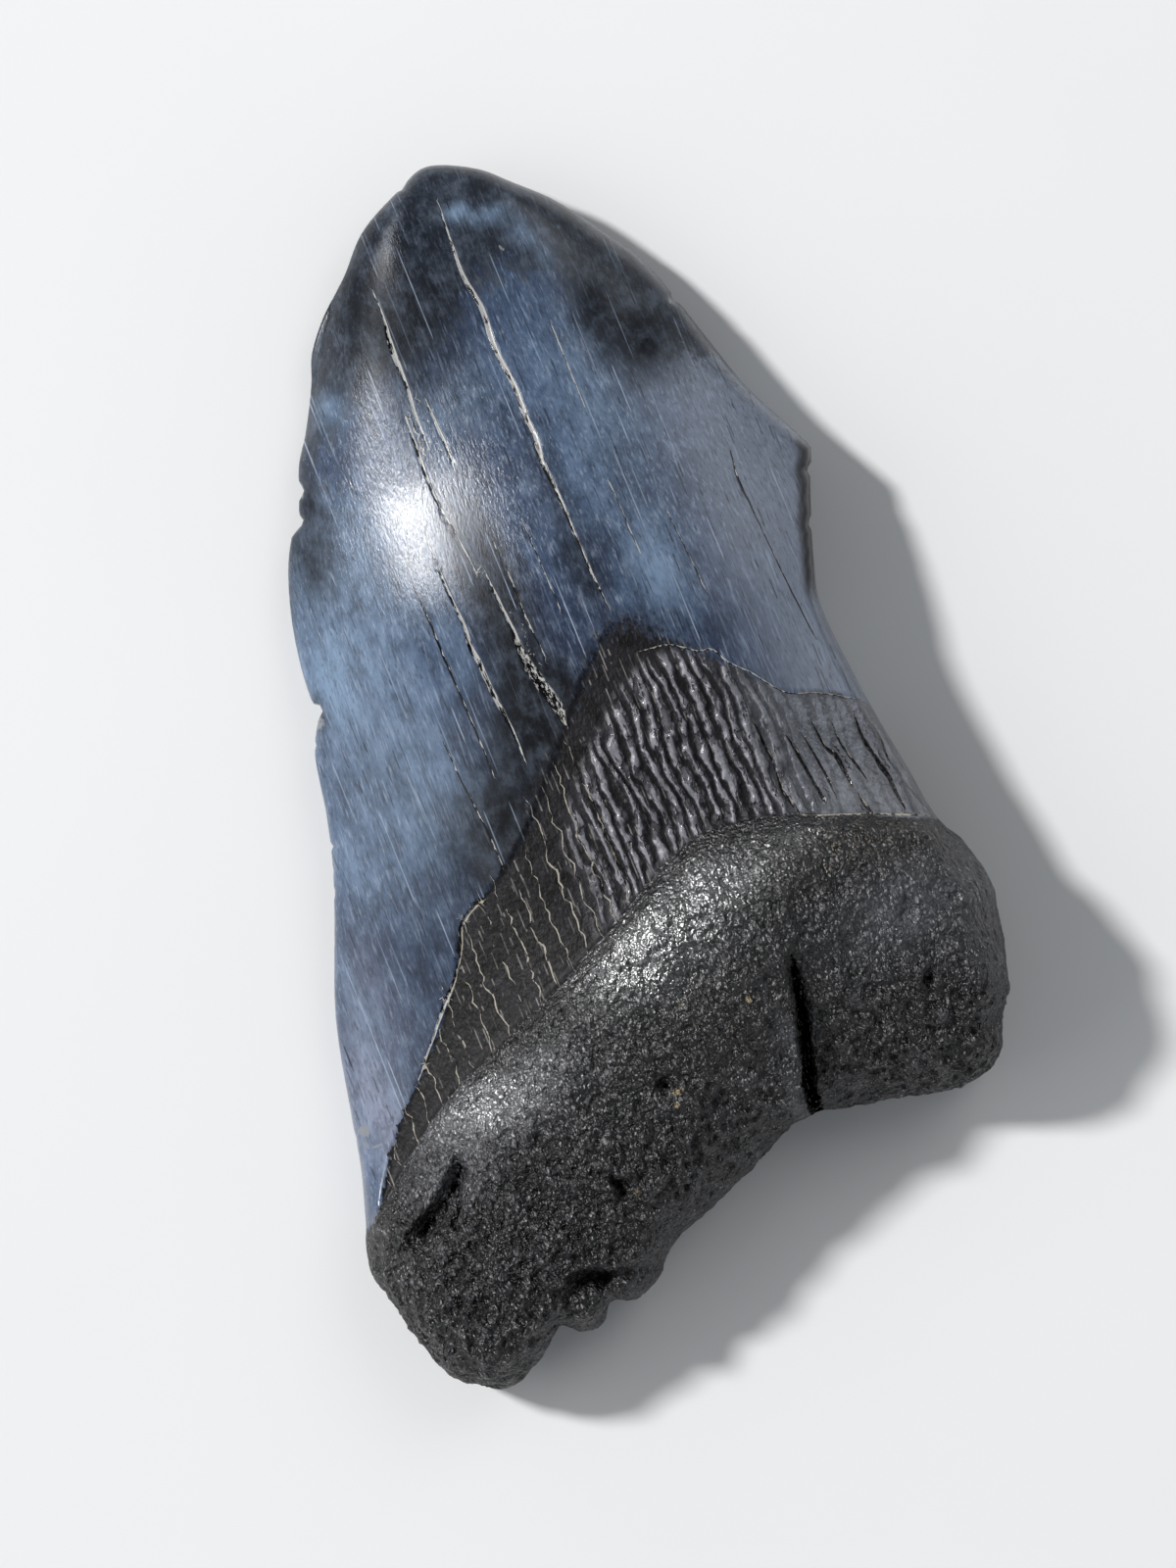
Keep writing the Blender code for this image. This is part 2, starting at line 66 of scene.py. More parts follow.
# The lines across the tooth, as (x, y), and the swelling of the root, as (x, height).
ENAMEL_FOOT = [(-46.5, 19), (-42, 26), (-36, 32.3), (-30, 39), (-27, 44), (-22, 47), (-16, 52), (-10, 58.5),
               (-5, 64), (-0.5, 66.5), (4, 62), (8, 58.3), (12, 53.8), (15.5, 52.3), (18, 50.8), (21, 48)]
BACK_ENAMEL_FOOT = [(-46.5, 14), (-30, 24), (-10, 32), (0, 34), (13, 33), (22, 30), (27, 27)]
ROOT_EDGE = [(-48, 18.5), (-43, 22.5), (-37, 27), (-28, 31.5), (-19, 35.3), (-10, 40), (-4, 43), (5, 43),
             (13, 40), (22, 36), (27, 34)]
TORUS_CREST = [(-48, 7), (-42, 13), (-36, 18.5), (-26, 24.8), (-13, 31.4), (-5, 34), (5, 34.5), (18, 30.5),
               (27, 26)]
TORUS_HEIGHT = [(-48, 0.5), (-42, 1), (-36, 1.4), (-26, 2.3), (-13, 4.1), (-5, 4.8), (5, 4.9), (18, 3.6),
                (27, 2.8)]
TORUS_CROWN_SIDE = 13
TORUS_FOOT_SIDE = 25
CREASE_SHARE = 0.6
CREASE_WIDTH = 1.5
BOURLETTE_DIP = 0.7
ENAMEL_STEP = 0.22
ROOT_STEP = 0.3
STEP_WIDTH = 0.5

# The outline, anticlockwise from the tip, as (x, y, radius of the worn edge).
WORN = 1.6
FRESH = 0.5
OUTLINE = [
    (-1.5, 117.2, WORN), (-5, 116, WORN), (-10, 113.5, WORN), (-13.5, 110, WORN), (-17, 107, WORN),
    (-19.5, 104, WORN), (-20.8, 101, WORN), (-23, 97, 1), (-25, 94, FRESH), (-26.2, 91, FRESH),
    (-27.5, 88, FRESH), (-28.5, 87.3, FRESH), (-30, 84.5, 1), (-31.5, 80, 1), (-32.5, 75, 1),
    (-32.8, 71, FRESH), (-32.5, 69.8, FRESH), (-34.5, 66, 1), (-35.7, 60, 1), (-37, 55, 1), (-38.8, 50, 1),
    (-42.7, 40, 1), (-45, 30, 1), (-46, 25, 1), (-47.5, 20, 2), (-49, 15, 5), (-48.3, 12, 5), (-47.5, 8, 5),
    (-46.5, 5, 6), (-45.5, 2, 7), (-43, 0, 7), (-40, -1.4, 7), (-37, -0.3, 6), (-34.5, 1.4, 4),
    (-33, 2.4, 2), (-31, 1, 2.4), (-29, 1, 2.4), (-27.2, 3, 1.5), (-25, 2.1, 2.6), (-22, 3.2, 3),
    (-19.5, 5.8, 4), (-17, 7, 6), (-14, 8, 7), (-8, 10.5, 7), (-4, 12.5, 4), (-1, 12.9, 2), (3, 12, 5),
    (8, 11, 6), (14, 9.8, 5), (18.5, 11.2, 4), (20.2, 14.5, 4), (22.5, 18.5, 4), (24, 25, 5),
    (24.5, 28, 4), (23.5, 32.5, 4), (21.8, 36.5, 2.5), (21, 42, 1.5), (19.8, 50, 1.5), (19, 60, 1.2),
    (20, 65, FRESH), (22.5, 72, FRESH), (24, 75.5, FRESH), (23.8, 77, 1), (20.5, 84, 1.5), (18.5, 90.5, 1.5),
    (17.2, 95, 1), (15.5, 100, WORN), (13, 104, WORN), (9.5, 109, WORN), (6, 112.5, WORN), (3, 115.2, WORN),
]
RIM_SHARE = 0.42

# The root's fissure, whose right side has sunk, its trough, and the ledge over two knobs. A knob is
# (x, y, radius, height), and a pit is (x, y, radius, depth).
FISSURE = [(2.2, 29), (1.6, 26.7), (1.2, 24.2), (0.3, 20.7), (-1, 16.2), (-1.4, 12)]
FISSURE_WIDTH = 1.8
FISSURE_DEPTH = 1.4
FISSURE_ASIDE = 0.55
SUNK_DEPTH = 3.2
SUNK_REACH = 24
SUNK_BLEND = 0.8
TROUGH = [(-35.5, 21.5), (-40, 17.5), (-44, 15.5)]
TROUGH_WIDTH = 3.6
TROUGH_DEPTH = 1.3
LEDGE = [(-35, -3), (-34.2, 1), (-32.4, 4.6), (-30.6, 6.5), (-28.1, 6.9), (-25.9, 6), (-23, 5.6), (-21, 5.2),
         (-19.5, 4.4), (-18, 2)]
LEDGE_DROP = 3.6
LEDGE_WIDTH = 1.5
KNOBS = [(-29.8, 3.5, 3.1, 3), (-25, 3.4, 2.7, 2.2)]
PITS = [(14.6, 21.8, 1.2, 1.3), (-14, 21.5, 1.4, 1.3), (15.3, 29, 1.8, 0.6), (-21.8, 13.5, 1.6, 0.9)]
ROOT_LUMPS = [(9, 0.8), (3.6, 0.5)]
CROWN_LUMPS = [(16, 0.35)]
GROOVE_TAPER = 0.12
SEED = 7

# ---------------------------------------------------------------------------------------------------
# What is finer than the solid, or is only colour: cracks, wrinkles, hollows, nicks and stains.
# ---------------------------------------------------------------------------------------------------

# A crack is (how much pale sediment fills it, [(x, y, width), ...]).
CRACKS = [
    (0.95, [(-1.8, 113, 0.12), (-2.1, 108, 0.25), (-2.2, 105, 0.42), (-1.7, 101, 0.55), (-2, 97, 0.55),
            (-1.6, 93, 0.55), (-1.7, 89, 0.6), (-1.6, 86.5, 0.5), (-2, 84, 0.4)]),
    (0.5, [(-2, 86.5, 0.15), (-1.9, 84, 0.5), (-1.7, 81, 0.42), (-1.6, 77, 0.32), (-1.5, 72, 0.28),
           (-1.2, 68, 0.15)]),
    (0.9, [(-11.3, 107, 0.12), (-11.3, 104, 0.25), (-11.7, 101, 0.6), (-11.7, 97, 0.4), (-12, 94, 0.35),
           (-12, 90, 0.15)]),
    (0.7, [(-13, 94, 0.19), (-13.2, 90, 0.43), (-13.3, 86, 0.28), (-12.9, 82, 0.22), (-12.5, 79, 0.19),
           (-12.3, 76.5, 0.12)]),
    (0.9, [(-10.5, 95, 0.19), (-10.3, 90, 0.37), (-10.4, 87, 0.12)]),
    (0.5, [(-9.6, 83, 0.12), (-9.5, 78, 0.19), (-9.3, 75, 0.22), (-9.3, 70, 0.22), (-9, 66, 0.12)]),
    (0.7, [(-15.6, 82, 0.12), (-15.6, 76, 0.31), (-15.4, 72, 0.37), (-15.6, 70, 0.56), (-15.4, 68, 0.56),
           (-15.2, 64, 0.5), (-14.8, 60, 0.31), (-14.8, 57, 0.12)]),
    (0.85, [(-11.5, 77, 0.12), (-11.2, 73, 0.31), (-11, 70, 0.43), (-11, 67, 0.9), (-10.5, 64, 1.2),
            (-9.7, 61, 1.1), (-9.7, 59, 0.37)]),
    (0.4, [(-18.7, 78, 0.12), (-18.5, 74, 0.22), (-18.5, 70, 0.25), (-18.4, 66, 0.19), (-18.3, 62, 0.22),
           (-18.3, 57, 0.12)]),
    (0.5, [(-21.8, 62, 0.12), (-21.5, 57, 0.19), (-21, 52, 0.19), (-20.9, 48, 0.12)]),
    (0.1, [(16.2, 78.5, 0.12), (15.8, 75.5, 0.25), (16, 72.5, 0.19), (16.1, 70, 0.12), (16.6, 62, 0.15),
           (17, 58, 0.12)]),
    (0.7, [(-6, 80, 0.12), (-5.8, 70, 0.12)]),
    (0.9, [(4.2, 97, 0.12), (4.2, 93, 0.15), (4.2, 88, 0.12)]),
    (0.7, [(3.6, 80, 0.12), (3.8, 72, 0.12)]),
    (0.6, [(7.9, 75, 0.12), (8.5, 66, 0.12)]),
    (0.65, [(0, 63, 0.12), (3, 62.5, 0.19), (5.5, 60.8, 0.19), (6.8, 60.5, 0.22), (8, 58.5, 0.19),
           (9.5, 57, 0.15), (12, 53.8, 0.15), (14.2, 52.8, 0.12), (15.6, 52.2, 0.16), (18.4, 50.5, 0.12)]),
    (0, [(13.4, 50, 0.12), (13.6, 48.2, 0.3), (13.8, 46.9, 0.36), (14.4, 46, 0.55), (14.6, 44.5, 0.5),
         (14.8, 42.5, 0.2)]),
    (0, [(17.7, 49, 0.15), (17.6, 46.9, 0.4), (17.8, 45.4, 0.45), (18.1, 44.4, 0.4), (18.3, 43.1, 0.6),
         (18.6, 41.9, 0.5), (18.7, 40, 0.4), (18.9, 38.3, 0.2)]),
    (0, [(10.5, 49.7, 0.15), (10.8, 48.1, 0.4), (11, 46.7, 0.36), (11.3, 44.4, 0.4), (11.6, 42.2, 0.4)]),
    (0.2, [(8, 51.8, 0.2), (8.1, 50, 0.34), (8.3, 47, 0.3), (8.1, 45, 0.4), (8.4, 43.5, 0.45),
           (8.8, 42, 0.2)]),
    (0, [(15.3, 49, 0.1), (15.3, 47.2, 0.28), (15.6, 45.6, 0.26), (16.1, 44, 0.3), (16.4, 42.6, 0.15)]),
    (0, [(19.1, 47.5, 0.1), (19.3, 46.1, 0.25), (19.2, 43.8, 0.25), (19.4, 42.8, 0.1)]),
    (0.2, [(12.1, 49, 0.1), (12.5, 46.5, 0.28), (12.8, 44, 0.28), (12.9, 42, 0.1)]),
    (0.9, [(-24, 45.6, 0.12), (-26, 44.9, 0.4), (-27.2, 43.8, 0.5), (-27.7, 42.4, 0.3), (-28.5, 41, 0.3),
           (-29.8, 39.2, 0.4), (-31, 38, 0.5), (-32.8, 36, 0.34), (-34.5, 34, 0.25), (-37, 31.2, 0.15)]),
    (0.4, [(15.1, 41.4, 0.15), (15.3, 40.1, 0.45), (15.6, 39.3, 0.25)]),
    (0, [(19.9, 40.8, 0.12), (20.4, 39.2, 0.25), (20.9, 37.9, 0.12)]),
    (0.8, [(9, 41.6, 0.12), (13, 40.1, 0.2), (17, 38.5, 0.24), (21, 36.7, 0.15)]),
]
CRACK_JITTER = 0.025
CRACK_DEPTH = 0.7
CRACK_REACH = 1.5
CRACK_MARGIN = 0.45

# What is stored away from every crack, as (offset, width, fill).
NO_CRACK = (9, 0.1, 0)

# The bourlette's left half is split by fissures that run from the root up to the enamel.
FISSURE_PLACES = [-43.6, -41.8, -39.4, -37.6, -35.6, -33.2, -31.2, -28.9, -26.6, -24.2, -22.4, -20.2, -18.1,
                  -16.2, -14.2, -12.2, -10.4]
FISSURE_LINE_WIDTH = 0.22
FISSURE_FILL = 0.75
FISSURE_JITTER = 0.25
LINE_STEP = 0.6

# The top of the raised wrinkles in the bourlette's middle, and where they fade out on the left. On the
# right they flatten into plates with narrow cracks between them.
WRINKLE_TOP = [(-30, 38), (-22, 44), (-14, 50), (-8, 56.5), (-4, 60), (0, 62), (3, 62), (6, 60.5),
               (10, 56.5), (13, 53), (20, 51.5)]
WRINKLE_LEFT = -13
LEFT_BLEND = 5
PLATES_FROM = 9
PLATES_BLEND = 9
WRINKLE_PITCH = 1.3

# The broken edge on the right: from which x, from which to which y, and how far in from the rim.
BROKEN_FROM_X = 15
BROKEN_Y = (62, 77)
BROKEN_REACH = 1.4

# Right of this place the enamel is greyer.
RIGHT_SIDE_X = 12

# Narrow hollows in the root, as (width, points). Black is painted inside them as shade, and so it is in the
# two deepest pits.
HOLLOWS = [(2.5, [(-35.6, 22.6), (-36.9, 20.6), (-38.6, 18.9), (-41, 17.5), (-43.4, 16.1)]),
           (1.2, [(-37, 20.4), (-37.6, 18.6), (-38.4, 17), (-39.6, 15.6)]),
           (0.9, [(-22.6, 15.6), (-22.1, 14.1), (-21.8, 12.6)])]
HOLLOW_DEPTH = 1.1
HOLLOW_SHADE = 0.4
DEEP_PITS = 2
PIT_SHADE_SHARE = 0.6

# The fissure is a hairline at its top, and gapes lower down: (point along it, width).
FISSURE_GAPE = [(0, 0.25), (1, 0.9), (len(FISSURE) - 1, FISSURE_WIDTH)]

# Nicks in the rim, as (x, y, how far they reach along it, depth).
NICKS = [(-33.8, 66.5, 0.8, 0.4), (-36.3, 56.5, 0.6, 0.35), (-36.8, 54, 0.7, 0.3), (-40.3, 47.5, 0.6, 0.3),
         (-44, 30.3, 0.7, 0.35), (-44.8, 27.8, 1, 0.3), (-32.6, 69.9, 1, 0.4), (16.8, 95.2, 0.9, 0.5),
         (-26, 91.5, 1.2, 0.5), (-27.2, 88.6, 0.9, 0.5), (-4.6, 116, 0.7, 0.25), (23.2, 73.8, 0.8, 0.4),
         (21.4, 68.6, 0.9, 0.35), (-45.6, 24.4, 0.5, 0.25), (-38, 52, 0.5, 0.2)]

# Above this line the enamel is stained and mottled almost black.
STAIN_FOOT = [(-34, 76), (-30, 82), (-26, 87.5), (-23, 93), (-19, 96.5), (-14, 98), (-8, 99), (-3, 101.5),
              (0, 104), (4, 103), (7.5, 98), (9, 91.5), (13, 89.5), (19, 87), (24, 84)]

# Soft spots of colour, as (x, y, reach across, reach along, strength).
DARK_STAINS = [(-10.5, 73, 2.5, 8, 0.6), (-12, 105, 3.6, 8, 0.9), (-7, 101, 4, 6, 0.4),
               (12.5, 92.5, 3.5, 4, 1), (9, 97, 2.2, 5, 0.9), (-16, 53, 6, 4.5, 1),
               (-19.5, 51.5, 4, 3.5, 1), (-14, 58, 3.5, 4, 1), (-9, 63, 2.5, 3, 0.9), (-12, 60, 4, 7, 1),
               (-12, 70, 3, 11, 0.75), (-22, 48, 3, 2, 0.6), (-27, 84, 2.5, 4, 0.5),
               (-32.5, 69.5, 1, 2, 0.6), (-2, 72, 2, 5, 0.5), (-2, 80, 1.5, 8, 0.4),
               (-25.6, 90, 1.6, 4, 0.75), (-27.8, 84.5, 1.4, 4, 0.5)]
DIM = [(-30, 39, 6, 9, 1), (-25, 48, 4.5, 7, 0.95), (-36, 30, 3.5, 5, 0.7), (-18, 58, 3, 6, 0.8),
       (-38, 24, 4, 3, 0.8), (-36, 44, 3, 5, 0.4)]
DULL = [(-17, 72, 8, 9, 0.95), (-12, 105, 5, 9, 0.95), (-21, 84, 2.5, 9, 0.6), (-7, 111, 4, 4, 1)]
PALE_CLOUDS = [(-0.5, 111.5, 1.6, 1.2, 0.8), (2.5, 110, 2.4, 1.2, 0.8), (5, 107, 1.6, 2, 0.8),
               (6.3, 104, 1.2, 2, 0.6), (-8, 94, 5, 4, 0.5), (5, 86, 5, 12, 0.6), (4.5, 70, 2.5, 5, 0.8),
               (-28, 68, 6, 14, 0.85), (-24, 80, 6, 8, 0.6), (-35, 54, 3, 5, 0.5), (-24, 55, 5, 6, 0.4),
               (-42, 30, 3, 8, 0.8), (-40, 40, 2, 8, 0.6), (-20, 98, 2.5, 2.5, 0.7), (-17, 72, 2, 8, 0.3)]
# Grey worn patches of the root. The two narrow ones along the fissure's left lip are a painted lit strip,
# and the three on the left crest are partly a painted highlight.
WORN_AND_LIT_ROOT = [(15, 29, 8.5, 5, 1), (-33, 25.5, 8, 3.2, 0.9), (-38, 20.5, 4, 2.4, 0.8),
             (-0.7, 22, 1.2, 4, 0.9), (-2.3, 15.5, 1.2, 3.5, 0.9), (21, 22, 3, 6, 0.4),
             (-24, 28.5, 4, 2, 0.4)]
POLISHED = [(-11, 35, 8, 5, 1), (-30, 27, 8, 3.5, 0.5), (-2, 38.5, 6, 3.5, 0.8), (7, 40, 4, 2, 0.5)]
SMUDGES = [(-1, 65, 6, 4.5, 1), (-7, 61, 4, 3, 0.7), (-13, 55, 5, 5, 0.8), (-18, 51, 3, 3, 0.5),
           (5, 61, 4, 2, 0.5)]
LILAC = [(-42, 30, 3, 9, 0.9), (-38, 42, 2.5, 6, 0.4), (20.5, 60, 3.5, 12, 0.9)]
SEDIMENT = [(-13, 20.6, 0.7, 0.5, 1), (-13.6, 19.4, 0.3, 0.5, 0.9), (-20.6, 12.6, 0.5, 0.4, 0.8),
            (-3, 26.6, 0.4, 0.6, 0.7), (-9.5, 28.6, 0.5, 0.3, 0.6), (2, 55, 0.3, 0.5, 0.4)]
BROWN = [(14, 37, 8, 3.2, 1), (-32, 36, 5, 5, 0.5), (-22, 42, 5, 4, 0.5), (-6, 25, 7, 3, 0.5)]
PITTED = [(12, 14, 12, 9, 1), (-12, 14, 10, 6, 0.8), (-30, 12, 9, 8, 0.9), (-42, 8, 7, 9, 1),
          (0, 24, 6, 3, 0.3)]
CHIPS = [(-26, 91.6, 0.7, 1.2, 1), (-27.4, 88.8, 0.5, 1, 0.9), (-32.9, 68.6, 0.7, 0.8, 1),
         (-44.2, 28.4, 0.9, 0.7, 1), (-44.6, 27, 0.5, 0.5, 0.8), (16.6, 95.1, 0.5, 0.5, 1),
         (2.4, 106.3, 0.25, 0.5, 1), (22.8, 77.4, 0.3, 0.9, 0.8), (-43.4, 26.4, 0.9, 0.25, 0.9),
         (-41.8, 28.2, 0.8, 0.4, 0.6)]

# How far in from the rim the back's markings take over from the front's.
EDGE_BLEND = 4

# Mesh spacing.
RIM_STEP = 0.5
FRONT_BANDS = 18
BACK_BANDS = 9
SKIRT_SHARE = 0.3
BACK_ROUNDING = 2
FINE_PITCH = 0.29
ENAMEL_PITCH = 0.46
BACK_PITCH = 0.95
BACK_ROOT_PITCH = 0.55
LINE_CLEARANCE = 0.55
FOOT_MARGIN = 0.9
NARROWEST_GROOVE = 0.24
LIP_BAND = 0.12


def curve_through(stations, at):
    """The smooth curve through the stations, read at each place."""
    places, values = np.array(stations, float).T
    slopes = np.gradient(values, places)
    at = np.clip(at, places[0], places[-1])
    index = np.clip(np.searchsorted(places, at) - 1, 0, len(places) - 2)
    gap = places[index + 1] - places[index]
    share = (at - places[index]) / gap
    start, end = values[index], values[index + 1]
    pull_start, pull_end = slopes[index] * gap, slopes[index + 1] * gap
    return (start + share * pull_start + share ** 2 * (3 * (end - start) - 2 * pull_start - pull_end)
            + share ** 3 * (2 * (start - end) + pull_start + pull_end))


def smooth_step(distance, width):
    """0 below minus half the width, 1 above half of it, and smooth between."""
    share = np.clip(distance / width + 0.5, 0, 1)
    return share * share * (3 - 2 * share)


def bell(distance, reach):
    """1 at the middle, falling smoothly to 0 at the reach."""
    return 0.5 + 0.5 * np.cos(math.pi * np.clip(distance / reach, -1, 1))


def above_line(x, y, line):
    """How far each point lies above a line across the tooth, square to the line."""
    height = curve_through(line, x)
    lean = curve_through(line, x + 0.5) - curve_through(line, x - 0.5)
    return (y - height) / np.sqrt(1 + lean ** 2)


def line_distance(x, y, points, closed=False, reach=None):
    """Each point's distance to a line, its nearest place on it in points, and the side that it is on.

    With a reach, points that are further from the line's box keep an endless distance.
    """
    points = np.asarray(points, float)[:, :2]
    ends = np.roll(points, -1, axis=0) if closed else points[1:]
    starts = points if closed else points[:-1]
    best, place, side = np.full(len(x), np.inf), np.zeros(len(x)), np.ones(len(x))
    chosen = np.arange(len(x))
    if reach:
        low, high = points.min(axis=0) - reach, points.max(axis=0) + reach
        chosen = np.flatnonzero((x > low[0]) & (x < high[0]) & (y > low[1]) & (y < high[1]))
    near_x, near_y = x[chosen], y[chosen]
    near = np.full(len(chosen), np.inf)
    for number, (start, end) in enumerate(zip(starts, ends)):
        run = end - start
        across, along = near_x - start[0], near_y - start[1]
        share = np.clip((across * run[0] + along * run[1]) / (run @ run), 0, 1)
        distance = np.hypot(across - share * run[0], along - share * run[1])
        nearer = distance < near
        near[nearer] = distance[nearer]
        place[chosen[nearer]] = number + share[nearer]
        side[chosen[nearer]] = np.sign(run[0] * along - run[1] * across)[nearer]
    best[chosen] = near
    return best, place, side


def spaced(points, step, closed=False):
    """Points at even steps along a smooth curve through the given ones, with all their columns."""
    points = np.array(points, float)
    count = len(points)
    if closed:
        points = np.vstack([points[-1:], points, points[:2]])
    else:
        points = np.vstack([2 * points[0] - points[1], points, 2 * points[-1] - points[-2]])
    fine = []
    for index in range(1, count + closed):
        before, start, end, after = points[index - 1: index + 3]
        for share in np.linspace(0, 1, 12, endpoint=False):
            fine.append(0.5 * (2 * start + (end - before) * share
                               + (2 * before - 5 * start + 4 * end - after) * share ** 2
                               + (3 * start - before - 3 * end + after) * share ** 3))
    fine.append(fine[0] if closed else points[-2])
    fine = np.array(fine)
    lengths = np.hypot(*np.diff(fine[:, :2], axis=0).T)
    along = np.concatenate([[0], np.cumsum(lengths)])
    stops = np.linspace(0, along[-1], max(2, round(along[-1] / step) + 1))
    if closed:
        stops = stops[:-1]
    return np.column_stack([np.interp(stops, along, column) for column in fine.T])


def side_normals(points, closed=False):
    """The unit vector to the left of the line at each of its points."""
    if closed:
        runs = np.roll(points, -1, axis=0) - np.roll(points, 1, axis=0)
    else:
        runs = np.gradient(points, axis=0)
    runs = runs[:, :2] / np.hypot(runs[:, 0], runs[:, 1])[:, None]
    return np.column_stack([-runs[:, 1], runs[:, 0]])


def jagged(line, jitter, random):
    """The line in short steps, each moved a little sideways, as a crack runs through grain."""
    line = spaced(line, LINE_STEP)
    sway = random.uniform(-1, 1, len(line))
    sway = jitter * (sway + 0.5 * np.roll(sway, 1))
    sway[[0, -1]] = 0
    line[:, :2] += side_normals(line) * sway[:, None]
    return line


def crack_lines():
    """Every crack and every bourlette fissure, as (fill, points with widths)."""
    random = np.random.default_rng(SEED)
    lines = [(fill, jagged(points, CRACK_JITTER, random)) for fill, points in CRACKS]
    for x in FISSURE_PLACES:
        low = float(curve_through(ROOT_EDGE, np.array([x]))[0])
        high = float(curve_through(ENAMEL_FOOT, np.array([x]))[0])
        high -= random.uniform(-0.12, 0.22) * (high - low)
        bend = random.uniform(-0.5, 0.5)
        width = FISSURE_LINE_WIDTH * random.uniform(0.7, 1.2)
        points = [(x, low + 0.2, 0.6 * width), (x + bend, (low + high) / 2, width), (x, high, 0.3 * width)]
        lines.append((FISSURE_FILL * random.uniform(0.8, 1.2), jagged(points, FISSURE_JITTER, random)))
    return lines


CRACK_LINES = crack_lines()


def groove(x, y, line, width, depth):
    """A V-shaped groove along the line, which grows shallow at both ends."""
    distance, place, _ = line_distance(x, y, line, reach=width)
    to_end = np.minimum(place, len(line) - 1 - place) / (len(line) - 1)
    return depth * np.clip(1 - 2 * distance / width, 0, 1) * np.clip(to_end / GROOVE_TAPER, 0, 1)


def lumps(x, y, sizes, seed):
    """Low rounded lumps of each size, laid over each other."""
    total = np.zeros(len(x))
    for size, height in sizes:
        for index, (across, along) in enumerate(zip(x, y)):
            total[index] += height * noise.noise(Vector((across / size, along / size, seed)))
    return total


def back_height(x, y):
    """The flatter face, which rises to the cutting edges and rests on its root and near its tip."""
    across = np.clip((x - MIDLINE_X) / curve_through(HALF_WIDTH, y), -1, 1)
    return np.maximum(0, curve_through(BACK_ARCH, y) + BACK_EDGE_RISE * across ** 2)


def blade(x, y):
    """The bulged face of the whole tooth, without its root's swelling."""
    across = np.clip(np.abs(x - MIDLINE_X) / curve_through(HALF_WIDTH, y), 0, 1)
    edge = curve_through(EDGE_THICKNESS, y)
    middle = curve_through(THICKNESS, y)
    return back_height(x, y) + edge + (middle - edge) * (1 - across ** curve_through(ROUNDNESS, y))


def root_swelling(x, y):
    """The torus, which ends at the root's edge in a crease."""
    over_crest = above_line(x, y, TORUS_CREST)
    reach = np.where(over_crest > 0, TORUS_CROWN_SIDE, TORUS_FOOT_SIDE)
    off_torus = smooth_step(above_line(x, y, ROOT_EDGE) + CREASE_WIDTH / 2, CREASE_WIDTH)
    return curve_through(TORUS_HEIGHT, x) * bell(over_crest, reach) * (1 - CREASE_SHARE * off_torus)


def bourlette_dip(x, y):
    """How far the bourlette sinks from the enamel's foot down to the crease."""
    below_enamel = np.maximum(0, -above_line(x, y, ENAMEL_FOOT))
    above_root = above_line(x, y, ROOT_EDGE)
    share = below_enamel / (below_enamel + np.maximum(above_root, 0) + 0.01)
    return BOURLETTE_DIP * share * smooth_step(above_root, CREASE_WIDTH)


def sunk_side(x, y):
    """The part of the root to the right of the fissure, which sits lower towards the root's foot."""
    beyond = x - curve_through([(y, x) for x, y in FISSURE[::-1]], y)
    top = FISSURE[0][1]
    lower = np.sqrt(np.clip((top - y) / (top - FISSURE[-1][1]), 0, 1.2))
    return SUNK_DEPTH * lower * smooth_step(beyond, SUNK_BLEND) * bell(np.maximum(beyond, 0), SUNK_REACH)


def crack_grooves(x, y):
    """How deep the cracks cut, each as a V as wide as the crack is there."""
    cut = np.zeros(len(x))
    for _, line in CRACK_LINES:
        distance, place, _ = line_distance(x, y, line, reach=CRACK_REACH)
        width = np.interp(place, np.arange(len(line)), line[:, 2])
        depth = CRACK_DEPTH * width * smooth_step(width - NARROWEST_GROOVE, NARROWEST_GROOVE / 2)
        cut = np.maximum(cut, depth * np.clip(1 - 2 * distance / width, 0, 1))
    return cut


def front_height(x, y):
    """The bulged face with everything that stands on it or is cut into it."""
    on_enamel = smooth_step(above_line(x, y, ENAMEL_FOOT), STEP_WIDTH)
    on_root = smooth_step(-above_line(x, y, ROOT_EDGE), STEP_WIDTH)
    height = blade(x, y) + root_swelling(x, y) + ENAMEL_STEP * on_enamel + ROOT_STEP * on_root
    height -= bourlette_dip(x, y)
    split = groove(x - FISSURE_ASIDE, y, FISSURE, FISSURE_WIDTH, FISSURE_DEPTH)
    height -= on_root * (sunk_side(x, y) + split)
    height -= groove(x, y, TROUGH, TROUGH_WIDTH, TROUGH_DEPTH)
    for width, line in HOLLOWS:
        height -= groove(x, y, line, width, HOLLOW_DEPTH)
    height -= LEDGE_DROP * smooth_step(-above_line(x, y, LEDGE), LEDGE_WIDTH)
    for knob_x, knob_y, radius, rise in KNOBS:
        height += rise * rounded_edge(radius - np.hypot(x - knob_x, y - knob_y), radius)
    for pit_x, pit_y, radius, depth in PITS:
        height -= depth * bell(np.hypot(x - pit_x, y - pit_y), radius)
    height -= crack_grooves(x, y)
    height += on_root * lumps(x, y, ROOT_LUMPS, SEED)
    return height + (1 - on_root) * lumps(x, y, CROWN_LUMPS, SEED)


def rounded_edge(distance, radius):
    """The share of the full height that a rounded edge reaches at each distance in from it."""
    return np.sqrt(1 - np.clip(1 - distance / radius, 0, 1) ** 2)


def heights(x, y, distance, radius, front):
    """The height of one face, rounded over to the rim."""
    low, high = back_height(x, y), front_height(x, y)
    rim = low + RIM_SHARE * (high - low)
    face = high if front else low
    reach = radius if front else np.minimum(radius, BACK_ROUNDING)
    return rim + (face - rim) * rounded_edge(distance, reach)


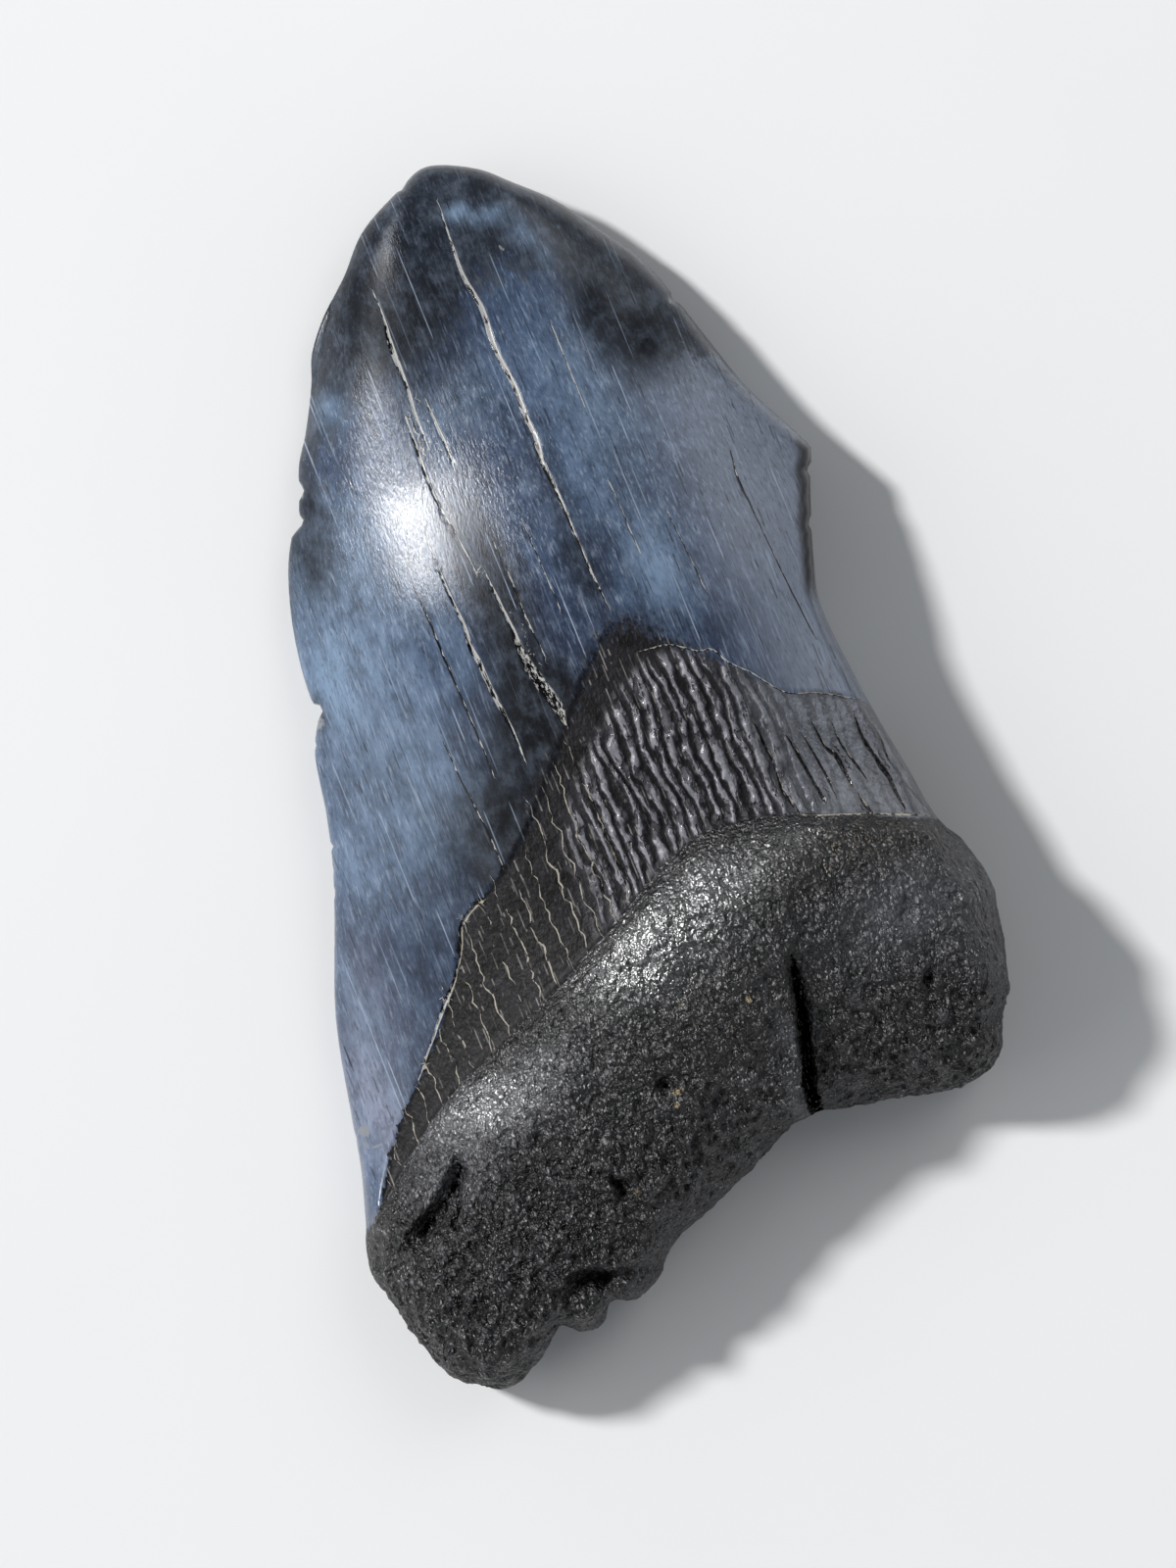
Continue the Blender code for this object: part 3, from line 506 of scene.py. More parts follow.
def rim_line():
    """The rim with its nicks, as (x, y, radius)."""
    rim = spaced(OUTLINE, RIM_STEP, closed=True)
    inward = side_normals(rim, closed=True)
    for x, y, reach, depth in NICKS:
        rim[:, :2] += inward * (depth * bell(np.hypot(rim[:, 0] - x, rim[:, 1] - y), reach))[:, None]
    return rim


def lattice(pitch):
    """Points in a pattern of equal triangles over the whole plan."""
    low_x, low_y, _ = np.min(OUTLINE, axis=0)
    high_x, high_y, _ = np.max(OUTLINE, axis=0)
    points = []
    for row, y in enumerate(np.arange(low_y, high_y, pitch * math.sqrt(3) / 2)):
        points += [(x, y) for x in np.arange(low_x + (row % 2) * pitch / 2, high_x, pitch)]
    return np.array(points)


def inside_rim(points, rim):
    """Whether each point is inside the rim."""
    starts, ends = rim[:, :2], np.roll(rim[:, :2], -1, axis=0)
    inside = np.zeros(len(points), bool)
    for start, end in zip(starts, ends):
        if start[1] == end[1]:
            continue
        straddles = (start[1] > points[:, 1]) != (end[1] > points[:, 1])
        crossing = start[0] + (points[:, 1] - start[1]) * (end[0] - start[0]) / (end[1] - start[1])
        inside ^= straddles & (points[:, 0] < crossing)
    return inside


def within(points, rim, margin):
    """The points inside the rim's skirt by more than the margin."""
    points = points[inside_rim(points, rim)]
    distance, place, _ = line_distance(points[:, 0], points[:, 1], rim, closed=True)
    return points[distance > SKIRT_SHARE * radius_at(rim, place) + margin]


def radius_at(rim, place):
    """The edge's radius at each place along the rim."""
    return np.interp(place, np.arange(len(rim) + 1), np.append(rim[:, 2], rim[0, 2]))


def clear_of(points, kept, gap):
    """The points that lie at least the gap away from every kept one."""
    tree = kdtree.KDTree(len(kept))
    for index, (x, y) in enumerate(kept):
        tree.insert((x, y, 0), index)
    tree.balance()
    return points[[tree.find((x, y, 0))[2] > gap for x, y in points]]


def fill_plan(loop, lines, points):
    """Triangles over the plan inside the loop, with the lines among their edges."""
    verts = [Vector(point) for point in loop]
    edges = [(index, (index + 1) % len(loop)) for index in range(len(loop))]
    for line in lines:
        first = len(verts)
        verts += [Vector(point) for point in line]
        near = [math.dist(line[i], line[i + 1]) < 2 * LINE_STEP for i in range(len(line) - 1)]
        edges += [(first + i, first + i + 1) for i, joined in enumerate(near) if joined]
    verts += [Vector(point) for point in points]
    made, _, faces, sources, _, _ = delaunay_2d_cdt(verts, edges, [], 1, 1e-5)
    on_loop = {source: index for index, found in enumerate(sources)
               for source in found if source < len(loop)}
    return np.array([tuple(vert) for vert in made]), faces, on_loop


def front_plan(rim, loop):
    """The front face's points: the cracks' floors and lips, then a lattice that is finest on the root."""
    lines = []
    for _, line in CRACK_LINES:
        aside = side_normals(line) * line[:, 2:3] / 2
        wide = line[:, 2] > NARROWEST_GROOVE
        lines += [line[:, :2], (line[:, :2] + aside)[wide], (line[:, :2] - aside)[wide]]
        aside += side_normals(line) * LIP_BAND
        lines += [(line[:, :2] + aside)[wide], (line[:, :2] - aside)[wide]]
    lines = [within(line, rim, ENAMEL_PITCH / 2) for line in lines]
    kept = np.vstack([loop] + lines)
    return lines, fine_and_coarse(rim, ENAMEL_FOOT, (FINE_PITCH, ENAMEL_PITCH), kept)


def fine_and_coarse(rim, foot, pitches, kept):
    """A lattice of the first pitch up to just above the enamel's foot, and of the second beyond."""
    layers = []
    for pitch, side in zip(pitches, (-1, 1)):
        points = within(lattice(pitch), rim, pitch / 2)
        points = points[side * (above_line(*points.T, foot) - FOOT_MARGIN) > 0.25 * pitch]
        layers.append(clear_of(points, kept, LINE_CLEARANCE * pitch))
    return np.vstack(layers)


def skirt(rim, front, points, faces):
    """Adds the bands of faces along the rim. It gives the innermost points' plan and numbers."""
    count = len(rim)
    inward = side_normals(rim, closed=True)
    bands = FRONT_BANDS if front else BACK_BANDS
    reach = rim[:, 2] if front else np.minimum(rim[:, 2], BACK_ROUNDING)
    previous = list(range(count))
    for turn in np.linspace(0, math.acos(1 - SKIRT_SHARE), bands + 1)[1:]:
        depth = reach * (1 - math.cos(turn))
        plan = rim[:, :2] + inward * depth[:, None]
        first = sum(map(len, points))
        points.append(np.column_stack([plan, heights(*plan.T, depth, rim[:, 2], front)]))
        current = list(range(first, first + count))
        for index in range(count):
            after = (index + 1) % count
            quad = [previous[index], previous[after], current[after], current[index]]
            faces.append(quad if front else quad[::-1])
        previous = current
    return plan, previous


def half_tooth(rim, front, points, faces):
    """Adds one face of the tooth to the points and faces, from the rim inwards."""
    loop, on_rim = skirt(rim, front, points, faces)
    if front:
        lines, inner = front_plan(rim, loop)
    else:
        lines, inner = [], fine_and_coarse(rim, BACK_ENAMEL_FOOT, (BACK_ROOT_PITCH, BACK_PITCH), loop)
    plan, fill, on_loop = fill_plan(loop, lines, inner)
    distance, place, _ = line_distance(*plan.T, rim, closed=True)
    height = heights(*plan.T, distance, radius_at(rim, place), front)
    loop_at = {made: on_rim[source] for source, made in on_loop.items()}
    first = sum(map(len, points))
    inner = [index for index in range(len(plan)) if index not in loop_at]
    points.append(np.column_stack([plan, height])[inner])
    numbers = dict(loop_at)
    numbers.update({index: first + order for order, index in enumerate(inner)})
    for face in fill:
        corners = [numbers[index] for index in face]
        faces.append(corners if front else corners[::-1])


def soft_spots(x, y, spots):
    """The joined strength of soft-edged spots."""
    clear = np.ones(len(x))
    for spot_x, spot_y, across, along, strength in spots:
        away = ((x - spot_x) / across) ** 2 + ((y - spot_y) / along) ** 2
        clear *= 1 - strength * np.exp(-away)
    return 1 - clear


def crack_facts(x, y):
    """For each point, the nearest crack's signed distance, width, fill, and whether it is near at all."""
    offset, width, fill = (np.full(len(x), float(value)) for value in NO_CRACK)
    for amount, line in CRACK_LINES:
        distance, place, side = line_distance(x, y, line, reach=CRACK_REACH)
        nearer = distance < np.abs(offset)
        offset[nearer] = (distance * side)[nearer]
        width[nearer] = np.interp(place, np.arange(len(line)), line[:, 2])[nearer]
        fill[nearer] = amount
    near = np.abs(offset) < CRACK_MARGIN + width / 2
    return offset, width, fill, near


def fissure_shadow(x, y):
    """How deep in the fissure each point is."""
    distance, place = line_distance(x - FISSURE_ASIDE, y, FISSURE)[:2]
    width = np.interp(place, *zip(*FISSURE_GAPE))
    return np.clip(1.2 - 2 * distance / width, 0, 1)


def hollow_shadow(x, y):
    """How deep each point is in a hollow of the root or in one of its deepest pits."""
    deepest = np.max([groove(x, y, line, width, 1) for width, line in HOLLOWS], axis=0)
    for pit_x, pit_y, radius, _ in PITS[:DEEP_PITS]:
        pit = bell(np.hypot(x - pit_x, y - pit_y), PIT_SHADE_SHARE * radius)
        deepest = np.maximum(deepest, pit)
    return deepest


def wrinkle_zone(x, y, root):
    """Where the bourlette's raised wrinkles stand."""
    across = smooth_step(PLATES_FROM - x, PLATES_BLEND) * smooth_step(x - WRINKLE_LEFT, LEFT_BLEND)
    return across * smooth_step(-above_line(x, y, WRINKLE_TOP) - 0.8, 2.4) * smooth_step(-root - 0.2, 0.8)


def broken_edge(x, y, distance):
    """Where the broken edge on the right shows its dark core."""
    return (smooth_step(x - BROKEN_FROM_X, 3) * smooth_step(y - BROKEN_Y[0], 3)
            * smooth_step(BROKEN_Y[1] - y, 2) * smooth_step(BROKEN_REACH - distance, 0.8))


# The soft spots that are stored on the mesh under their own names.
SPOT_FACTS = {
    "dark_stain": DARK_STAINS, "dim": DIM, "dull": DULL + DARK_STAINS, "pale_cloud": PALE_CLOUDS,
    "lilac": LILAC, "smudge": SMUDGES, "worn_root": WORN_AND_LIT_ROOT, "polish": POLISHED, "brown": BROWN,
    "pitted": PITTED, "sediment": SEDIMENT, "chips": CHIPS,
}


def write_facts(mesh, points, rim, front_count):
    """Stores on the mesh what each point is made of, for the relief and the finish."""
    x, y, _ = points.T
    front = np.arange(len(points)) < front_count
    distance, place, _ = line_distance(x, y, rim, closed=True)
    behind = ~front * smooth_step(distance - EDGE_BLEND / 2, EDGE_BLEND)
    back_enamel = above_line(x, y, BACK_ENAMEL_FOOT)
    enamel = (1 - behind) * above_line(x, y, ENAMEL_FOOT) + behind * back_enamel
    root = -(1 - behind) * above_line(x, y, ROOT_EDGE) - behind * back_enamel
    offset, width, fill, near = crack_facts(x, y)
    facts = {
        "front": front, "enamel_offset": enamel, "root_offset": root, "root_zone": smooth_step(root, 0.5),
        "stain_offset": above_line(x, y, STAIN_FOOT), "right_side": smooth_step(x - RIGHT_SIDE_X, 10),
        "crack_offset": offset, "crack_width": width, "crack_fill": fill, "crack_near": near & front,
        "wrinkle_zone": wrinkle_zone(x, y, root) * front,
        "plates": smooth_step(x - PLATES_FROM, PLATES_BLEND) * front,
        # The share of painted shade in the fissure, the hollows and the deepest pits.
        "fissure": np.maximum(fissure_shadow(x, y), HOLLOW_SHADE * hollow_shadow(x, y)),
        "broken": broken_edge(x, y, distance),
    }
    facts.update({name: soft_spots(x, y, spots) for name, spots in SPOT_FACTS.items()})
    facts["smudge"] *= front
    for name, values in facts.items():
        attribute = mesh.attributes.new(name, "FLOAT", "POINT")
        attribute.data.foreach_set("value", np.asarray(values, np.float32))


def base_mesh():
    """The closed mesh before its fine relief, placed where the solid is."""
    rim = rim_line()
    low, high = back_height(*rim[:, :2].T), front_height(*rim[:, :2].T)
    points = [np.column_stack([rim[:, :2], low + RIM_SHARE * (high - low)])]
    faces = []
    half_tooth(rim, True, points, faces)
    front_count = sum(map(len, points))
    half_tooth(rim, False, points, faces)
    points = np.vstack(points)
    mesh = bpy.data.meshes.new("tooth_fossil")
    place = box_shift(points)
    mesh.from_pydata(((points + place) * MM).tolist(), [], faces)
    write_facts(mesh, points, rim, front_count)
    mesh.shade_smooth()
    return mesh, place


def box_shift(points):
    """What moves the tooth's own frame, in millimetres, onto the solid."""
    low, high = (np.array(corner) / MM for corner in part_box("tooth"))
    middle = (points.min(axis=0) + points.max(axis=0)) / 2
    shift = (low + high) / 2 - middle
    shift[2] = low[2] - points[:, 2].min()
    return shift


# ---------------------------------------------------------------------------------------------------
# Fine relief, by Geometry Nodes, and the finish.
# ---------------------------------------------------------------------------------------------------

MATH, VECTOR, MIX, RANGE = "ShaderNodeMath", "ShaderNodeVectorMath", "ShaderNodeMix", "ShaderNodeMapRange"
NOISE, VORONOI, WHITE_NOISE = "ShaderNodeTexNoise", "ShaderNodeTexVoronoi", "ShaderNodeTexWhiteNoise"
SPLIT, SPLIT_COLOUR, PLACE = "ShaderNodeSeparateXYZ", "ShaderNodeSeparateColor", "ShaderNodeTexCoord"


def linear(hex_colour):
    """A colour given as sRGB hex, in linear light."""
    parts = [int(hex_colour[i:i + 2], 16) / 255 for i in (1, 3, 5)]
    return tuple(p / 12.92 if p <= 0.04045 else ((p + 0.055) / 1.055) ** 2.4 for p in parts) + (1,)


class Maker:
    """Adds nodes to a tree. Its patterns are laid out in millimetres of the place that it is given."""

    def __init__(self, tree, place=None):
        self.tree = tree
        if place:
            self.place = self.node(VECTOR, place, (1 / MM,) * 3, operation="MULTIPLY")

    def node(self, kind, *values, **named):
        """Adds a node. Values feed its inputs in order, and its settings have lower-case names."""
        made = self.tree.nodes.new(kind)
        for name, value in named.items():
            if name.islower():
                setattr(made, name, value)
        inputs = [socket for socket in made.inputs if socket.enabled]
        feeds = list(zip(inputs, values))
        for name, value in named.items():
            if not name.islower():
                feeds.append((next(s for s in inputs if s.name == name.replace("_", " ")), value))
        for socket, value in feeds:
            if isinstance(value, bpy.types.Node):
                value = next(output for output in value.outputs if output.enabled)
            if isinstance(value, bpy.types.NodeSocket):
                self.tree.links.new(value, socket)
            else:
                socket.default_value = value
        return made

    def fact(self, name):
        """A value stored on the mesh."""
        if self.tree.bl_idname == "ShaderNodeTree":
            return self.node("ShaderNodeAttribute", attribute_name=name).outputs["Fac"]
        return self.node("GeometryNodeInputNamedAttribute", data_type="FLOAT", Name=name)

    def math(self, operation, value, *others):
        """A calculation on one value, or with each of the others in turn."""
        if not others:
            return self.node(MATH, value, operation=operation)
        for other in others:
            value = self.node(MATH, value, other, operation=operation)
        return value

    def times(self, *values):
        return self.math("MULTIPLY", *values)

    def plus(self, *values):
        return self.math("ADD", *values)

    def less(self, *values):
        return self.math("SUBTRACT", *values)

    def most(self, *values):
        return self.math("MAXIMUM", *values)

    def ramp(self, value, start, end, low=0.0, high=1.0):
        """A smooth step between two values. A name stands for the value stored under it."""
        value = self.fact(value) if isinstance(value, str) else value
        return self.node(RANGE, value, start, end, low, high, interpolation_type="SMOOTHSTEP")

    def blend(self, share, first, second):
        """Two colours mixed, each of them a hex value or a node's output."""
        first, second = (linear(c) if isinstance(c, str) else c for c in (first, second))
        return self.node(MIX, share, first, second, data_type="RGBA").outputs[2]

    def layers(self, tone, *coats):
        """A colour with others laid over it in turn, each given as its share and itself."""
        for share, colour in coats:
            tone = self.blend(share, tone, colour)
        return tone

    def between(self, share, first, second):
        """Two values mixed."""
        return self.node(MIX, share, first, second, data_type="FLOAT").outputs[0]

    def grid(self, width, length, seed):
        """The place in cells of a width across the tooth and a length along it."""
        cell = self.node(VECTOR, self.place, (1 / width, 1 / length, 1 / width), operation="MULTIPLY")
        return self.node(VECTOR, cell, (seed, seed, seed), operation="ADD")

    def noise(self, width, length, seed, detail=3.0, roughness=0.6):
        """Cloudy noise around a half."""
        cell = self.grid(width, length, seed)
        return self.node(NOISE, cell, Scale=1.0, Detail=detail, Roughness=roughness).outputs[0]


def wrinkle_dome(make):
    """Wrinkles side by side that sway and break off.

    It gives their height, 0 in a crack and 1 on top, and how far each place faces left.
    """
    def swaying(width, length, seed, reach):
        """Noise between minus and plus the reach."""
        return make.node(RANGE, make.noise(width, length, seed, 1.5), 0.25, 0.75, -reach, reach)

    across = make.node(SPLIT, make.place).outputs["X"]
    turns = make.plus(swaying(3.4, 8.0, 3.0, 0.6), swaying(0.9, 1.7, 8.0, 0.2))
    turns = make.times(make.plus(make.times(across, 1 / WRINKLE_PITCH), turns), math.tau)
    dome = make.ramp(make.math("SINE", turns), -0.8, 0.85)
    breaks = make.ramp(make.noise(0.9, 2.2, 11.0, 2.0), 0.38, 0.48, 0.1, 1.0)
    return make.times(dome, breaks), make.ramp(make.math("COSINE", turns), 0.2, 0.9)


def crinkle(make):
    """The root's coarse grain, where ridges and pits crowd together, around 0."""
    folds = make.less(make.noise(1.3, 1.7, 5.0, 3.0, 0.55), 0.5)
    pits = make.ramp(make.noise(0.95, 1.25, 9.0, 2.0), 0.3, 0.5, -0.5, 0.0)
    return make.plus(make.times(folds, 1.6), pits)


def grains(make):
    """The root's rounded grains: their height, 0 in the gaps and 1 on top, and how pale each one is, at
    random and palest on its top as a painted highlight.
    """
    warp = make.node(NOISE, make.grid(0.8, 1.1, 14.0), Scale=1.0, Detail=1.0).outputs["Color"]
    cell = make.node(VECTOR, make.grid(0.46, 0.7, 12.0), warp, operation="ADD")
    height = make.ramp(make.node(VORONOI, cell, feature="DISTANCE_TO_EDGE", Scale=1.0), 0.02, 0.28)
    picks = make.node(SPLIT_COLOUR, make.node(VORONOI, cell, Scale=1.0).outputs["Color"])
    return height, make.times(make.ramp(picks.outputs["Red"], 0.45, 0.95), height)


RELIEF_SIZES = {"Wrinkle height": 0.38, "Crinkle height": 1.3, "Lump height": 0.5}


def relief_tree(finish):
    """Raises the bourlette's wrinkles and the root's grain along the surface's normals."""
    tree = bpy.data.node_groups.new("fossil_relief", "GeometryNodeTree")
    tree.interface.new_socket("Geometry", in_out="INPUT", socket_type="NodeSocketGeometry")
    for name in RELIEF_SIZES:
        tree.interface.new_socket(name, in_out="INPUT", socket_type="NodeSocketFloat")
    tree.interface.new_socket("Geometry", in_out="OUTPUT", socket_type="NodeSocketGeometry")
    make = Maker(tree, tree.nodes.new("GeometryNodeInputPosition").outputs[0])
    sizes = make.node("NodeGroupInput").outputs

    wrinkles = make.times(wrinkle_dome(make)[0], make.fact("wrinkle_zone"), sizes["Wrinkle height"])
    rough = make.ramp("worn_root", 0.0, 1.0, 0.2, 0.05)
    rough = make.times(make.plus(rough, make.times(make.fact("pitted"), 0.65)), crinkle(make))
    lump = make.less(make.noise(2.8, 4.2, 1.0, 2.0), 0.5)
    stone = make.plus(make.times(rough, sizes["Crinkle height"]), make.times(lump, sizes["Lump height"]))
    height = make.plus(wrinkles, make.times(stone, make.fact("root_zone")))
    normal = make.node("GeometryNodeInputNormal")
    push = make.node(VECTOR, normal, Scale=make.times(height, MM), operation="SCALE")
    moved = make.node("GeometryNodeSetPosition", sizes["Geometry"], Offset=push)
    whole = make.node("GeometryNodeRealizeInstances", moved)
    make.node("NodeGroupOutput", make.node("GeometryNodeSetMaterial", whole, Material=finish))
    return tree


def with_relief(mesh, finish):
    """The mesh with its fine relief, as a plain mesh."""
    tree = relief_tree(finish)
    blank = bpy.data.objects.new("tooth_blank", mesh)
    bpy.context.scene.collection.objects.link(blank)
    modifier = blank.modifiers.new("relief", "NODES")
    modifier.node_group = tree
    for socket in tree.interface.items_tree:
        if socket.name in RELIEF_SIZES:
            modifier[socket.identifier] = RELIEF_SIZES[socket.name]
    graph = bpy.context.evaluated_depsgraph_get()
    made = bpy.data.meshes.new_from_object(blank.evaluated_get(graph))
    bpy.data.objects.remove(blank)
    return made


def keep_in_box(mesh):
    """Holds every point within the solid's box, so that the looks never change its size."""
    low, high = (np.array(corner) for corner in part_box("tooth"))
    points = np.empty(len(mesh.vertices) * 3, np.float32)
    mesh.vertices.foreach_get("co", points)
    points = np.clip(points.reshape(-1, 3), low, high)
    mesh.vertices.foreach_set("co", points.ravel())
    mesh.update()


def hairlines(make, pitch, length, width, seed):
    """Thin straight lines along the tooth, one in each cell of a pitch across and a length along."""
    cell = make.node(SPLIT, make.grid(pitch, length, seed))
    column = make.math("FLOOR", cell.outputs["X"])
    start = make.node(WHITE_NOISE, column, noise_dimensions="1D")
    along = make.plus(cell.outputs["Y"], start.outputs["Value"])
    place = make.node("ShaderNodeCombineXYZ", column, make.math("FLOOR", along), seed)
    picks = make.node(SPLIT_COLOUR, make.node(WHITE_NOISE, place, noise_dimensions="3D").outputs["Color"])
    middle = make.ramp(picks.outputs["Red"], 0.0, 1.0, 0.1, 0.9)
    away = make.math("ABSOLUTE", make.less(make.math("FRACT", cell.outputs["X"]), middle))
    line = make.ramp(away, 0.2 * width / pitch, width / pitch, 1.0, 0.0)
    to_end = make.math("ABSOLUTE", make.less(make.math("FRACT", along), 0.5))
    to_end = make.less(to_end, make.times(picks.outputs["Green"], 0.45))
    faint = make.ramp(picks.outputs["Blue"], 0.2, 1.0)
    return make.times(line, make.ramp(to_end, -0.08, 0.0, 1.0, 0.0), faint)


def enamel_tone(make, stained, speckle, streaks):
    """Enamel: navy under pale blue clouds, grey on its right, lilac at its foot, and dark where stained."""
    clouds = make.noise(8, 13, 2, 5.0)
    mottle = make.noise(1.9, 2.6, 4, 5.0, 0.7)
    fibres = make.noise(1.3, 18, 27)
    clear = make.ramp(stained, 0.0, 1.0, 1.0, 0.2)
    dark_lines = make.plus(hairlines(make, 0.8, 5, 0.1, 7.0), hairlines(make, 1.1, 3, 0.12, 12.0))
    pale_lines = make.plus(hairlines(make, 1.7, 12, 0.09, 3.0), hairlines(make, 3.1, 26, 0.1, 5.0))
    return make.layers(
        make.blend(make.ramp(clouds, 0.35, 0.7), "#2d3950", "#43546f"),
        (make.times(make.fact("pale_cloud"), make.ramp(clouds, 0.3, 0.7, 0.5, 1.2)), "#7890aa"),
        (make.fact("lilac"), "#7c7f92"),
        (make.ramp(fibres, 0.38, 0.7, 0.0, 0.45), "#263044"),
        (make.ramp(mottle, 0.48, 0.75, 0.0, 0.4), "#7d8da3"),
        (make.ramp(mottle, 0.5, 0.28, 0.0, 0.5), "#212733"),
        (make.times(make.fact("right_side"), 0.8), "#727a88"),
        (stained, make.blend(make.ramp(mottle, 0.4, 0.7), "#181b20", "#414852")),
        (make.ramp(speckle, 0.5, 0.75, 0.0, 0.5), "#141924"),
        (make.times(make.ramp(speckle, 0.48, 0.3, 0.0, 0.2), clear), "#8794aa"),
        (make.times(make.ramp(streaks, 0.52, 0.72, 0.0, 0.45), clear), "#929fb3"),
        (make.times(make.fact("dim"), make.ramp(mottle, 0.3, 0.6, 0.85, 0.5)), "#1d2129"),
        (make.times(make.fact("dark_stain"), make.ramp(mottle, 0.3, 0.65, 0.95, 0.3)), "#0c0d11"),
        (make.times(dark_lines, make.ramp(fibres, 0.3, 0.6, 0.25, 0.7)), "#141a26"),
        (make.times(pale_lines, make.ramp(fibres, 0.3, 0.7, 0.1, 0.75)), "#a9b6ca"),
    )


def bourlette_tone(make, dome, leftward, mottle):
    """Bourlette: black, brown towards its left end, grey on its wrinkles and greyer on its plates, with
    painted shade in the wrinkles' valleys and a painted highlight along their left flanks.

    It gives the tone, and how much each place is a wrinkle's top or a plate.
    """
    zone, plates = make.fact("wrinkle_zone"), make.fact("plates")
    ridge = make.times(make.ramp(dome, 0.3, 0.95), zone)
    # A painted highlight along the wrinkles' left flanks, where the light falls on them.
    flank_highlight = make.times(make.ramp(dome, 0.2, 0.5), make.ramp(dome, 1.0, 0.85), leftward, zone)
    flecks = make.plus(hairlines(make, 0.8, 3.4, 0.1, 9.0), hairlines(make, 1.5, 2.2, 0.12, 4.0))
    plate = make.blend(make.ramp(mottle, 0.3, 0.7), "#565960", "#70737b")
    tone = make.layers(
        make.blend(make.ramp(mottle, 0.38, 0.65), "#0a090b", "#1e1c1f"),
        (make.times(make.fact("brown"), 0.5), "#1b1715"),
        (zone, make.blend(make.ramp(mottle, 0.35, 0.65), "#3b3a3f", "#5b5a60")),
        (ridge, make.blend(make.ramp(mottle, 0.3, 0.6), "#65646a", "#807f86")),
        # Painted shade in the valleys between the wrinkles.
        (make.times(make.ramp(dome, 0.0, 0.12, 0.9, 0.0), zone), "#060607"),
        (make.times(flank_highlight, make.ramp(mottle, 0.3, 0.6)), "#a5a3aa"),
        (make.times(flecks, make.ramp(mottle, 0.35, 0.6, 0.1, 0.6)), "#a19d98"),
        (plates, make.blend(make.ramp(dome, 0.3, 0.0, 0.0, 0.5), plate, "#2b2c30")),
    )
    return tone, make.most(ridge, plates)


def creases(make):
    """The root's creases, which wander between its folds: 0 in a crease and 1 beside it."""
    return make.ramp(make.math("ABSOLUTE", make.less(make.noise(1.9, 2.5, 31, 3.0, 0.6), 0.5)), 0.0, 0.06)


def rugged(make):
    """How rugged the root is: fully so where it is pitted, and hardly elsewhere."""
    return make.plus(make.times(make.fact("pitted"), 0.8), 0.2)


def painted_hollow_shade(make):
    """How much painted shade each place gets in the fissure, the hollows and the deepest pits, with a ragged
    edge.
    """
    ragged = make.ramp(make.noise(0.6, 0.9, 35, 2.0), 0.35, 0.6, 0.5, 1.4)
    return make.ramp(make.times(make.fact("fissure"), ragged), 0.1, 0.5)


def root_tone(make, mottle, tops, pale_and_lit_tops):
    """Root: black stone with grey grains, smooth and grey where worn and where a lit strip is painted, brown
    with tan grains on top. Painted shade blackens the gaps between grains, the creases, the fold hollows,
    the fissure and the hollows, and painted light greys the folds' ridges.
    """
    fold, rough = crinkle(make), rugged(make)
    specks = make.ramp(make.noise(0.2, 0.5, 19, 1.0, 0.5), 0.64, 0.7)
    return make.layers(
        make.blend(make.ramp(mottle, 0.4, 0.7), "#070607", "#151415"),
        (make.fact("brown"), "#1b1612"),
        (make.times(make.fact("pitted"), 0.9), "#1e1c1f"),
        # Grey worn patches, among them a painted lit strip by the fissure and a painted highlight on the
        # left crest.
        (make.times(make.fact("worn_root"), make.ramp(mottle, 0.25, 0.55, 0.4, 0.95)), "#5b5c61"),
        # Some grains are paler at random, and palest on their tops, which is a painted highlight.
        (make.times(pale_and_lit_tops, make.ramp(mottle, 0.35, 0.6, 0.1, 0.6)), "#7a787c"),
        # Painted shade in the gaps between the grains.
        (make.times(make.less(1.0, tops), make.ramp("worn_root", 0.0, 1.0, 0.9, 0.55)), "#030303"),
        # Painted light on the folds' ridges and painted shade in their hollows.
        (make.times(make.ramp(fold, 0.0, 0.3, 0.0, 0.6), rough), "#57555a"),
        (make.times(make.ramp(fold, -0.08, -0.4, 0.0, 0.85), rough), "#030303"),
        # Painted shade in the creases.
        (make.times(make.less(1.0, creases(make)), make.times(rough, 0.8)), "#020202"),
        # Painted shade in the fissure, the hollows and the deepest pits.
        (painted_hollow_shade(make), "#020202"),
        (make.times(specks, make.ramp(mottle, 0.35, 0.65, 0.1, 1.0)),
         make.blend(make.fact("brown"), "#a09ea1", "#a8936f")),
    )


def cracks_over(make, tone, enamel):
    """The tone with its cracks: black, with pale sediment in patches that lean to one side, so that the
    black along the other side is a painted shadow.

    It gives the tone and where the sediment lies.
    """
    width = make.fact("crack_width")
    offset = make.math("DIVIDE", make.fact("crack_offset"), make.times(width, 0.5))
    inside = make.ramp(make.math("ABSOLUTE", offset), 0.75, 1.15, 1.0, 0.0)
    inside = make.times(inside, make.fact("crack_near"))
    patches = make.ramp(make.noise(0.5, 1.6, 15), 0.3, 0.7, -0.75, 0.3)
    gaps = make.ramp(make.noise(0.25, 0.5, 23, 2.0), 0.4, 0.6, -0.9, 0.1)
    # The lean to one side paints a shadow along the crack's other wall.
    filled = make.plus(make.fact("crack_fill"), patches, make.ramp(offset, -1.0, 1.0, -0.3, 0.3),
                       make.times(make.ramp(width, 0.5, 0.8), gaps))
    filled = make.ramp(filled, 0.3, 0.5)
    sediment = make.blend(enamel, "#a39d92", "#b0b0ae")
    return make.blend(inside, tone, make.blend(filled, "#08080a", sediment)), make.times(inside, filled)


